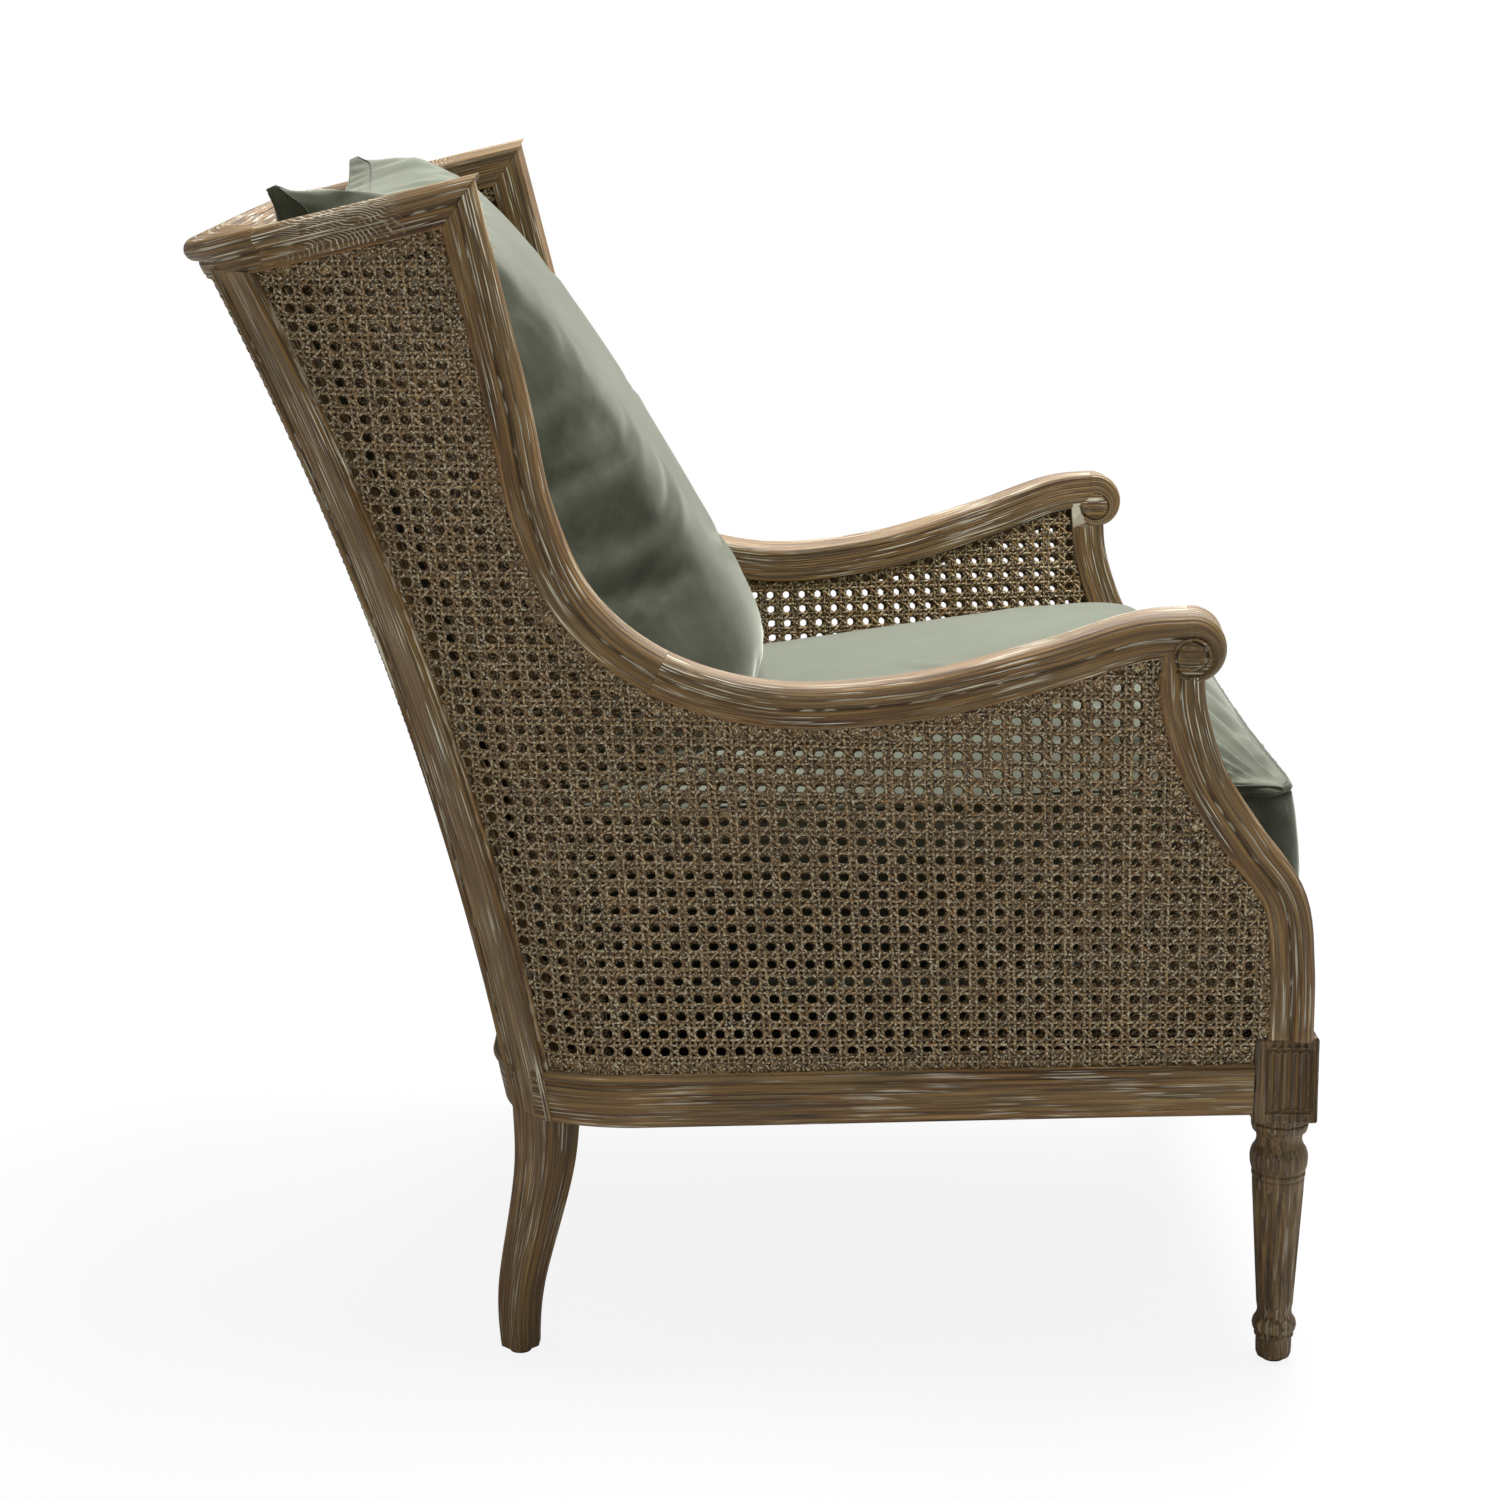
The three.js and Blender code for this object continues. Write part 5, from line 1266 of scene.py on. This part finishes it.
# Cushions
SEAT_HALF, SEAT_FRONT, SEAT_REAR, BOXING, CROWN = 308, -472, 176, 146, 75
DECK_FRONT_Z, DECK_REAR_Z = 350, 324
REACH, CORNER, FULLEST = SEAT_REAR - SEAT_FRONT, 27, 0.21
RAKE = math.atan((DECK_FRONT_Z - DECK_REAR_Z) / REACH)
RAKE_COS, RAKE_SIN = math.cos(RAKE), math.sin(RAKE)
SETTLE_GAP = 1.5


def domed(t, power):
    return 1 - np.abs(t) ** power


def seat_half(v):
    drawn = 1 - 0.022 * domed(2 * v - 1, 2)
    t = np.clip((v - 0.8) / 0.2, 0, 1)
    return lerp(205, SEAT_HALF, np.sqrt(1 - t * t)) * drawn


def seat_top(u, v):
    ahead = domed(np.clip(1 - v / FULLEST, 0, 1), 2.9)
    behind = domed(np.clip((v - FULLEST) / (1 - FULLEST), 0, 1), 1.3)
    return BOXING + CROWN * domed(u, 2.6) ** 0.8 * np.where(v < FULLEST, ahead, behind)


def seat_local(u, v, w):
    swell = 5 * np.sin(math.pi * w)
    half = seat_half(v) + swell * np.abs(u) ** 9
    y = lerp(5 + 0.011 * REACH * domed(u, 2), REACH - 5, v) + swell * (2 * v - 1) ** 9
    x = u * half
    inset = np.clip(1 - (half - np.abs(x)) / CORNER, 0, 1)
    ahead = np.clip(1 - y / CORNER, 0, 1)
    turned = np.maximum(inset, ahead) / np.maximum(np.hypot(inset, ahead), 1e-9)
    both_in = (inset > 0) & (ahead > 0)
    x = np.where(both_in, np.sign(x) * (half - CORNER * (1 - inset * turned)), x)
    y = np.where(both_in, CORNER * (1 - ahead * turned), y)
    return x, y, w * seat_top(u, v)


def on_deck(x, y, z):
    return np.stack([x, SEAT_FRONT + y * RAKE_COS + z * RAKE_SIN,
                     DECK_FRONT_Z - y * RAKE_SIN + z * RAKE_COS], -1)


def off_deck(p):
    """The seat cushion's own coordinates of points in the frame: the way back from on_deck."""
    y, z = p[..., 1] - SEAT_FRONT, p[..., 2] - DECK_FRONT_Z
    return p[..., 0], y * RAKE_COS - z * RAKE_SIN, y * RAKE_SIN + z * RAKE_COS


def above_seat(p):
    x, y, z = off_deck(p)
    v = np.clip(y / REACH, 0, 1)
    return z - seat_top(np.clip(x / seat_half(v), -1, 1), v)


BEARING_Z, FOOT_Z = 700, 500
SLOPE = (back_y(BEARING_Z + 0.5) - back_y(BEARING_Z - 0.5))
LEAN = math.atan(SLOPE)
BACK_UP = arr(0, math.sin(LEAN), math.cos(LEAN))
BACK_OUT = arr(0, -math.cos(LEAN), math.sin(LEAN))
BACK_OFF = (DEPTH + 2 * GAP) / math.cos(LEAN)
BACK_ORIGIN = arr(0, back_y(BEARING_Z) - BACK_OFF - SLOPE * (BEARING_Z - FOOT_Z), FOOT_Z)
BACK_HALF, BACK_TALL, BACK_CROWN = 250, 505, 122
BACK_THICK_LOW, BACK_THICK_HIGH, TIP_SPAN = 150, 62, 22


def front_crown(u, w):
    below, above = np.clip((0.3 - w) / 0.3, 0, 1), np.clip((w - 0.3) / 0.7, 0, 1)
    rolled = np.sqrt(domed(above, 120))
    return domed(u, lerp(2.4, 6, above)) ** 0.75 * (1 - 0.46 * below**2 - 0.5 * above**3) * rolled


def back_at(u, v, w):
    """The back cushion's surface, its foot moulded over the seat cushion's crown."""
    front = lerp(BACK_THICK_LOW, BACK_THICK_HIGH, w) + BACK_CROWN * front_crown(u, w)
    rear = lerp(66, 46, w) * (1 - domed(u, 7) * domed(2 * w - 1, 7))
    from_tip = np.hypot(BACK_HALF * (1 - np.abs(u)), BACK_TALL * (1 - w))
    pinched = 0.8 * np.clip(1 - from_tip / TIP_SPAN, 0, 1)
    front = lerp(front, np.minimum(front, rear + 4), pinched)
    near, far = np.clip(-u, 0, 1), np.clip(u, 0, 1)
    height = w * BACK_TALL - (42 * domed(u, 3) - 7 * near**6 + 8 * np.sin(math.pi * near)) * w**6
    out = lerp(front, rear, v) + 10 * far**2 * w**4
    p = BACK_ORIGIN + height[..., None] * BACK_UP + out[..., None] * BACK_OUT
    p[..., 0] = u * BACK_HALF * (1 - 0.022 * domed(2 * w - 1, 2))
    foot = p.copy()
    for _ in range(8):
        foot = foot + BACK_UP * ((SETTLE_GAP - above_seat(foot)) / BACK_UP[2])[..., None]
    lift = (foot - p) @ BACK_UP
    return p + BACK_UP * np.maximum(lift, lift * (1 - w) ** 2)[..., None]


def box_grid(na, nl, nu):
    """Points and quads of a box's six gridded faces, as whole steps (i, j, k)."""
    index = -np.ones((na + 1, nl + 1, nu + 1), int)
    i, j, k = np.indices(index.shape)
    shell = (i == 0) | (i == na) | (j == 0) | (j == nl) | (k == 0) | (k == nu)
    index[shell] = np.arange(shell.sum())
    steps = np.stack([i[shell], j[shell], k[shell]], -1)
    quads = []
    faces = ((index[:, :, nu], 0), (index[:, :, 0], 1), (index[:, 0, :], 0), (index[:, nl, :], 1),
             (index[0], 1), (index[na], 0))
    for face, turned in faces:
        corners = (face[:-1, :-1], face[1:, :-1], face[1:, 1:], face[:-1, 1:])
        q = np.stack(corners, -1).reshape(-1, 4)
        quads.append(q[:, ::-1] if turned else q)
    return steps, np.vstack(quads), index


def eased(i, n, power):
    """Even steps from -1 to 1, drawn a little closer together towards both ends."""
    t = 2 * i / n - 1
    return np.sign(t) * (1 - (1 - np.abs(t)) ** power)


def inflate(o, pinned, cap, slack):
    """Cloth under inner pressure, with its seams held; no point moves further than cap."""
    group = o.vertex_groups.new(name="held")
    group.add([int(i) for i in np.flatnonzero(pinned)], 1.0, "REPLACE")
    start = read_points(o)
    m = o.modifiers.new("cloth", "CLOTH")
    s = m.settings
    s.quality = 6
    s.mass = 0.25
    s.tension_stiffness = s.compression_stiffness = 18
    s.shear_stiffness = 6
    s.bending_stiffness = 0.4
    s.use_pressure = True
    s.uniform_pressure_force = 3.0
    s.effector_weights.gravity = 0
    s.vertex_group_mass = "held"
    s.shrink_min = -slack
    m.collision_settings.use_collision = False
    scene = bpy.context.scene
    scene.frame_start, scene.frame_end = 1, CLOTH_FRAMES
    m.point_cache.frame_end = CLOTH_FRAMES
    for f in range(1, CLOTH_FRAMES + 1):
        scene.frame_set(f)
    dg = bpy.context.evaluated_depsgraph_get()
    moved = read_points(o.evaluated_get(dg))
    o.modifiers.clear()
    scene.frame_set(1)
    way = moved - start
    far = np.linalg.norm(way, axis=1, keepdims=True)
    write_points(o, start + way * np.minimum(1, cap * MM / np.maximum(far, 1e-9)))


def cushion(name, points, quads):
    """The velvet cover of a loose cushion, which has a body of its own."""
    o = dress(fast_mesh(f"{name}_cover", points, quads, velvet), name, name)
    return o


def tube(name, path, radius, mat, body):
    """A round cord along a closed path in metres, as a mesh."""
    t = unit(np.roll(path, -1, 0) - np.roll(path, 1, 0))
    ref = np.where(np.abs(t[:, 2:3]) > 0.9, arr(1, 0, 0), arr(0, 0, 1))
    a = unit(np.cross(t, ref))
    b = np.cross(t, a)
    turned = np.linspace(0, 2 * math.pi, 8, endpoint=False)[None, :, None]
    r = np.full(len(path), radius * MM)[:, None, None]
    rings = path[:, None] + r * (a[:, None] * np.cos(turned) + b[:, None] * np.sin(turned))
    o = mesh_object(name, lofted(in_millimetres(rings), closed=True), mat, 180)
    return dress(o, None, body)


def loop_round(face):
    """The closed loop of grid points round one face of a box grid."""
    return np.concatenate([face[:-1, 0], face[-1, :-1], face[:0:-1, -1], face[0, :0:-1]])


def boxing_shares(edge, total, cells):
    """Shares up a boxing: close together at both seams, even between."""
    inner = np.linspace(edge[-1], total - edge[-1], cells + 1)[1:-1]
    return np.concatenate([edge, inner, total - np.array(edge[::-1])]) / total


def fan(d, e, count, reach, seed):
    """Folds that fan out of a corner, where d and e are distances from its two edges in mm."""
    r = np.hypot(d, e)
    turn = np.arctan2(e, d) / QUARTER
    rng = np.random.default_rng(seed)
    out = np.zeros_like(r)
    for k in range(count):
        at = (k + 0.5) / count + rng.uniform(-0.3, 0.3) / count
        width = rng.uniform(0.02, 0.04)
        far = reach * rng.uniform(0.6, 1.0)
        bend = rng.uniform(-0.05, 0.05)
        t = (turn - at - bend * r / reach) / width
        ends = np.clip(r / 18, 0, 1) * np.clip(1 - r / far, 0, 1) ** 0.8
        out -= rng.uniform(0.6, 1.0) * np.exp(-np.abs(t) ** 1.3) * ends
    return out


def pucker(along, away, period, depth, reach, seed):
    """Short creases that run square off a seam; along and away are in mm."""
    rng = np.random.default_rng(seed)
    phase = rng.uniform(0, 6.3, 4)
    wave = sum(np.sin(along * 2 * math.pi / (period * k) + f)
               for k, f in zip((1.0, 1.7, 2.9, 0.63), phase)) / 4
    return depth * wave * np.exp(-np.abs(away) / reach) * np.clip(np.abs(away) / 3, 0, 1)


def crease(x, y, a, b, width, depth):
    """One soft crease along a line from a to b, with a ridge beside its groove."""
    way = arr(*b) - arr(*a)
    t = ((x - a[0]) * way[0] + (y - a[1]) * way[1]) / (way @ way)
    off = ((x - a[0]) * way[1] - (y - a[1]) * way[0]) / math.hypot(*way)
    arch = np.sin(math.pi * np.clip(t, 0, 1))
    bow = off - 0.12 * math.hypot(*way) * arch
    ridge = 0.55 * np.exp(-((bow - width) / width) ** 2)
    return arch ** 0.7 * depth * (ridge - np.exp(-(bow / (width * 0.7)) ** 2))


STITCH_EVERY, STITCH_LONG, STITCH_RADIUS = 0.0062, 0.0042, 0.00045


def stitches(name, path, body, outward):
    """A row of sewn stitches along a closed path of points in metres."""
    ahead = np.roll(path, -1, 0)
    spans = np.linalg.norm(ahead - path, axis=1)
    total = np.concatenate([[0], np.cumsum(spans)])
    r = STITCH_RADIUS
    shells = []
    for k in range(int(total[-1] / STITCH_EVERY)):
        ends = []
        for s in (k * STITCH_EVERY, k * STITCH_EVERY + STITCH_LONG):
            i = min(int(np.searchsorted(total, s, "right")) - 1, len(path) - 1)
            f = (s - total[i]) / max(spans[i], 1e-9)
            normal = unit(lerp(outward[i], outward[(i + 1) % len(path)], f))
            ends.append((lerp(path[i], ahead[i], f), normal))
        (a, na), (b, nb) = ends
        side = unit(np.cross(unit(b - a), na))
        middle = (a + b) / 2 + na * r * 1.6
        rings = [a + r * np.array([side * 0.5, na * 0.4, -side * 0.5, -na]),
                 middle + r * np.array([side, na * 0.6, -side, -na]),
                 b + r * np.array([side * 0.5, nb * 0.4, -side * 0.5, -nb])]
        shells.append(lofted(in_millimetres(np.array(rings))))
    return dress(mesh_object(name, merged(shells), thread, 180), None, body)


SEAM = [0, 2.2, 5.2, 7.2, 8.6, 11]
SEAM_RELIEF = [0, 1.4, 2.2, 1.6, -2.4, 0]
SEAT_LEVELS, BACK_LEVELS = boxing_shares(SEAM, BOXING, 11), np.linspace(0, 1, 13)
SEAT_CELLS = (62, 66, len(SEAT_LEVELS) - 1)
BACK_CELLS = (58, len(BACK_LEVELS) - 1, 62)
CLOTH_FRAMES = 18

steps, quads, seat_index = box_grid(*SEAT_CELLS)
u = eased(steps[:, 0], SEAT_CELLS[0], 1.2)
v = (eased(steps[:, 1], SEAT_CELLS[1], 1.2) + 1) / 2
w = SEAT_LEVELS[steps[:, 2]]
x, y, z = seat_local(u, v, w)
points = on_deck(x * (1 - 0.014 * np.sin(math.pi * w)), y, z)
seat_cushion = cushion("seat_cushion", points, quads)
seat_rims = loop_round(seat_index[:, :, 0]), loop_round(seat_index[:, :, -1])
seat_held = steps[:, 2] == 0
seat_held[seat_rims[1]] = True

steps, quads, back_index = box_grid(*BACK_CELLS)
u = eased(steps[:, 0], BACK_CELLS[0], 1.2)
v = BACK_LEVELS[steps[:, 1]]
w = (eased(steps[:, 2], BACK_CELLS[2], 1.2) + 1) / 2
back_cushion = cushion("back_cushion", back_at(u, v, w), quads)
back_rims = loop_round(back_index[:, 0]), loop_round(back_index[:, -1])
back_held = steps[:, 1] == BACK_CELLS[1]
back_held[back_rims[0]] = True

inflate(seat_cushion, seat_held, 9, 0.02)
inflate(back_cushion, back_held, 12, 0.03)

# Folds and seams, worked into the simulated covers after one subdivision
def subdivided(o):
    m = o.modifiers.new("smooth", "SUBSURF")
    m.levels = m.render_levels = 1
    apply_modifiers(o)
    return in_millimetres(read_points(o))


def raised(o, amount):
    write_points(o, read_points(o) + vertex_normals(o) * (amount * MM)[:, None])
    o.data.shade_smooth()


SEAT_CREASES = [
    ((-210, 250), (-60, 330), 12, 2.2), ((60, 180), (220, 260), 13, 2.0),
    ((-40, 120), (-230, 30), 10, 3.4), ((-90, 190), (-262, 60), 11, 3.0),
]
BACK_CREASES = [
    ((-235, 250), (-120, 300), 13, 2.8), ((-225, 190), (-90, 205), 13, 3.6),
    ((-230, 120), (-60, 150), 13, 4.2), ((-200, 330), (-70, 395), 14, 1.2),
    ((120, 120), (232, 190), 12, 4.4), ((70, 210), (225, 262), 12, 3.8),
    ((90, 330), (215, 400), 12, 2.8), ((-60, 70), (90, 60), 14, 3.2),
]

x, y, z = off_deck(subdivided(seat_cushion))
half = np.interp(y, np.linspace(0, REACH, 60), seat_half(np.linspace(0, 1, 60)))
left, right, rear = half - x, half + x, REACH - y
top = np.clip((z - BOXING - 1) / 4, 0, 1)
near_side, near_end = np.minimum(left, right), np.minimum(y, rear)
near_edge = np.clip(np.minimum(near_side, near_end), 0, None)
along = np.where(near_side < near_end, y, x)
fold = np.zeros(len(x))
corners = ((left, y, 9.5), (right, y, 9.5), (left, rear, 3.0), (right, rear, 3.0))
for number, (d, e, depth) in enumerate(corners):
    fold += top * depth * fan(np.clip(d, 0, None), np.clip(e, 0, None), 8, 300, 20 + number)
fold += top * pucker(along, near_edge, 30, 1.5, 22, 5)
for line in SEAT_CREASES:
    fold += top * crease(x, y, *line)
level = np.minimum(z, BOXING - z)
side = (level > 0.5) & (near_edge < 14)
fold += side * pucker(along, level, 46, 2.4, 30, 6)
fold += side * np.interp(level, SEAM, SEAM_RELIEF)
corner_off = np.sqrt(near_side**2 + y**2 + (z - BOXING) ** 2)
fold -= 8 * np.exp(-((corner_off / 20) ** 2))
fold += 3 * np.exp(-(((corner_off - 34) / 13) ** 2)) * top
raised(seat_cushion, fold)

p = subdivided(back_cushion)
x, z, out = p[:, 0], (p - BACK_ORIGIN) @ BACK_UP, (p - BACK_ORIGIN) @ BACK_OUT
thick = np.interp(z, [0, BACK_TALL], [BACK_THICK_LOW, BACK_THICK_HIGH])
front = np.clip((out - thick - 2) / 6, 0, 1)
left, right = np.clip(BACK_HALF - x, 0, None), np.clip(BACK_HALF + x, 0, None)
low, high = np.clip(z - 40, 0, None), np.clip(BACK_TALL - 42 - z, 0, None)
fold = np.zeros(len(x))
corners = ((left, high, 3.4), (right, high, 3.4), (left, low, 4.0), (right, low, 4.0))
for number, (d, e, depth) in enumerate(corners):
    fold += front * depth * fan(d, e, 4, 220, 40 + number)
for line in BACK_CREASES:
    fold += front * crease(x, z, *line)
near_side = np.minimum(left, right)
fold += front * pucker(np.where(near_side < 40, z, x), np.minimum(near_side, high), 28, 1.6, 24, 7)
raised(back_cushion, fold)

WELT_LIFT = 0.0003
welts = (("seat", seat_cushion, seat_rims, 1.4), ("back", back_cushion, back_rims, 0.8))
for label, o, rims, radius in welts:
    points = read_points(o) + vertex_normals(o) * WELT_LIFT
    for number, rim in enumerate(rims):
        tube(f"{label}_welt_{number + 1}", points[rim], radius, shaded_welt_velvet, f"{label}_cushion")
points, outward = read_points(seat_cushion), vertex_normals(seat_cushion)
for number, level in enumerate((3, SEAT_CELLS[2] - 3)):
    loop = loop_round(seat_index[:, :, level])
    stitches(f"seat_stitches_{number + 1}", points[loop], "seat_cushion", outward[loop])

# Deck pad: a covered platform with softly rounded edges
def inner_half(y, z):
    return side_x(y, z) - DEPTH - GAP


def pad_half(y):
    inner = np.minimum(inner_half(y, RAIL_TOP), inner_half(y, DECK_FRONT_Z)) - 3
    nose = BLOCK_X - BLOCK - GAP - 3
    corner = float(corner_point(0, float(RAIL_TOP))[1])
    tail = float(corner_point(STOPS[2], float(RAIL_TOP))[0]) - DEPTH - 3
    opened = np.clip((y - (BLOCK_REAR + GAP)) / 4, 0, 1)
    closed = np.clip((y - corner) / (PAD_REAR - corner), 0, 1)
    return lerp(lerp(nose, inner, opened), tail, closed)


PAD_FRONT, PAD_REAR = FRONT_Y + 13, float(back_y(RAIL_TOP)) - DEPTH - 6
PAD_CELLS, PAD_ROUND = (40, 60, 6), 9.0
steps, quads, _ = box_grid(*PAD_CELLS)
u = eased(steps[:, 0], PAD_CELLS[0], 1.5)
v = (eased(steps[:, 1], PAD_CELLS[1], 1.5) + 1) / 2
w = steps[:, 2] / PAD_CELLS[2]
y = lerp(PAD_FRONT, PAD_REAR, v)
half = pad_half(y)
edge = np.minimum(half * (1 - np.abs(u)), np.minimum(y - PAD_FRONT, PAD_REAR - y))
high = lerp(DECK_FRONT_Z, DECK_REAR_Z, (y - SEAT_FRONT) / REACH) - GAP
inset = PAD_ROUND - np.clip(edge, 0, PAD_ROUND)
shoulder = PAD_ROUND - np.sqrt(np.clip(PAD_ROUND**2 - inset**2, 0, None))
z = lerp(np.full_like(y, RAIL_TOP + GAP), high - shoulder, w)
pad = fast_mesh("deck_platform", np.stack([u * half, y, z], -1), quads, pad_cloth)
dress(pad, "deck_pad")

# Dust cover: stapled under the frame, hanging a little between its edges
cover_front, cover_rear = FRONT_Y + 5 + 30 + GAP, float(back_y(RAIL_TOP - RAIL_H)) - DEPTH - 2
cover_z, CLOTH_THICK, HANG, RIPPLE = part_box("dust_cover")[1][2] / MM, 0.8, 3.2, 0.5
rows, columns = 46, 40
v, u = np.meshgrid(np.linspace(0, 1, rows + 1), np.linspace(-1, 1, columns + 1), indexing="ij")
y = lerp(cover_front, cover_rear, v)
half = np.minimum(inner_half(y, RAIL_TOP - RAIL_H), inner_half(y, RAIL_TOP))
half = np.minimum(pad_half(y) - 1, half - 1)
hang = HANG * domed(u, 2) * domed(2 * v - 1, 2)
ripple = RIPPLE * np.sin(u * 16 + v * 5) * np.clip(1 - np.abs(np.abs(u) - 0.85) / 0.15, 0, 1)
upper = np.stack([u * half, y, cover_z - hang + ripple], -1).reshape(-1, 3)
lower = upper - arr(0, 0, CLOTH_THICK)
row = np.arange(rows)[:, None] * (columns + 1) + np.arange(columns)
flat = np.stack([row, row + 1, row + columns + 2, row + columns + 1], -1).reshape(-1, 4)
size = (rows + 1) * (columns + 1)
ring = np.concatenate([np.arange(columns), np.arange(rows) * (columns + 1) + columns,
                       size - 1 - np.arange(columns), (rows - np.arange(rows)) * (columns + 1)])
follow = np.roll(ring, -1)
hem = np.stack([ring, follow, follow + size, ring + size], -1)
quads = np.vstack([flat[:, ::-1] + size, flat, hem[:, ::-1]])
cover = fast_mesh("dust_cover_sheet", np.vstack([upper, lower]), quads, lining)
dress(cover, "dust_cover")
cloth_area = ((half[1:, 0] + half[:-1, 0]) * np.diff(y[:, 0])).sum()

# Camera: focal length in pixels of the photographed side's 1500, fitted to the photograph
FOCAL, PITCH, YAW, PIXELS, HORIZON = 3295, math.radians(10.15), math.radians(-0.29), 1500, 570
cam = bpy.data.cameras.new("camera")
cam.sensor_width = 36
cam.lens = FOCAL / PIXELS * cam.sensor_width
cam.shift_y = -(PIXELS / 2 - HORIZON) / PIXELS
cam.clip_end = 50
camera = placed("camera", cam)
camera.location = (-2.975, 0.0085, 1.1563)
view = (math.cos(PITCH) * math.cos(YAW), math.cos(PITCH) * math.sin(YAW), -math.sin(PITCH))
camera.rotation_euler = Vector(view).to_track_quat("-Z", "Y").to_euler()
bpy.context.scene.camera = camera

# Light, floor and background
def area(name, at, aim, size, power):
    data = bpy.data.lights.new(name, "AREA")
    data.size = size
    data.energy = power
    o = placed(name, data)
    o.location = at
    o.rotation_euler = (Vector(aim) - Vector(at)).to_track_quat("-Z", "Y").to_euler()


area("key", (0.1, -0.55, 3.4), (0, -0.1, 0.5), 1.6, 160)
area("fill", (-3.4, -0.4, 2.3), (0, 0, 0.5), 2.4, 14)
area("far", (2.3, -0.5, 2.6), (0, -0.1, 0.6), 1.8, 95)

WHITE, AMBIENT, FLOOR_GREY = (1, 1, 1, 1), 0.36, 0.68
world = bpy.data.worlds.new("studio")
bpy.context.scene.world = world
n = Nodes(world)
ambient = n.tree.nodes["Background"]
n.fed(ambient, WHITE, AMBIENT)
seen = n.add("LightPath").outputs["Is Camera Ray"]
clear = n.add("Background", Color=WHITE)
mixed = n.fed(n.add("MixShader"), seen, ambient.outputs[0], clear.outputs[0])
n.put(mixed, n.tree.nodes["World Output"].inputs["Surface"])

# The floor's own glow takes over from its shading outwards, so that it fades to white
n = Nodes(bpy.data.materials.new("floor"))
n.put((FLOOR_GREY, FLOOR_GREY, FLOOR_GREY, 1), n.shader.inputs["Base Color"])
n.put(0.9, n.shader.inputs["Roughness"])
apart = n.add("VectorMath", operation="LENGTH")
n.put(n.place(), apart.inputs[0])
share = n.fed(n.add("MapRange"), apart.outputs["Value"], 0.7, 1.9, 0.88, 1.0)
seen = n.maths("MULTIPLY", n.add("LightPath").outputs["Is Camera Ray"], share)
mixed = n.fed(n.add("MixShader"), seen, n.shader.outputs[0], n.add("Emission").outputs[0])
n.put(mixed, n.tree.nodes["Material Output"].inputs["Surface"])
FLOOR_HALF = 14
me = bpy.data.meshes.new("floor")
corners = ((-1, -1), (1, -1), (1, 1), (-1, 1))
me.from_pydata([(a * FLOOR_HALF, b * FLOOR_HALF, 0) for a, b in corners], [], [(0, 1, 2, 3)])
me.materials.append(n.owner)
placed("floor", me)
bpy.context.scene.view_settings.view_transform = "Standard"

for o in bpy.context.scene.objects:
    if o.type == "MESH" and "grain" in o.data.attributes and "relief" not in o.data.attributes:
        mark_relief(o)
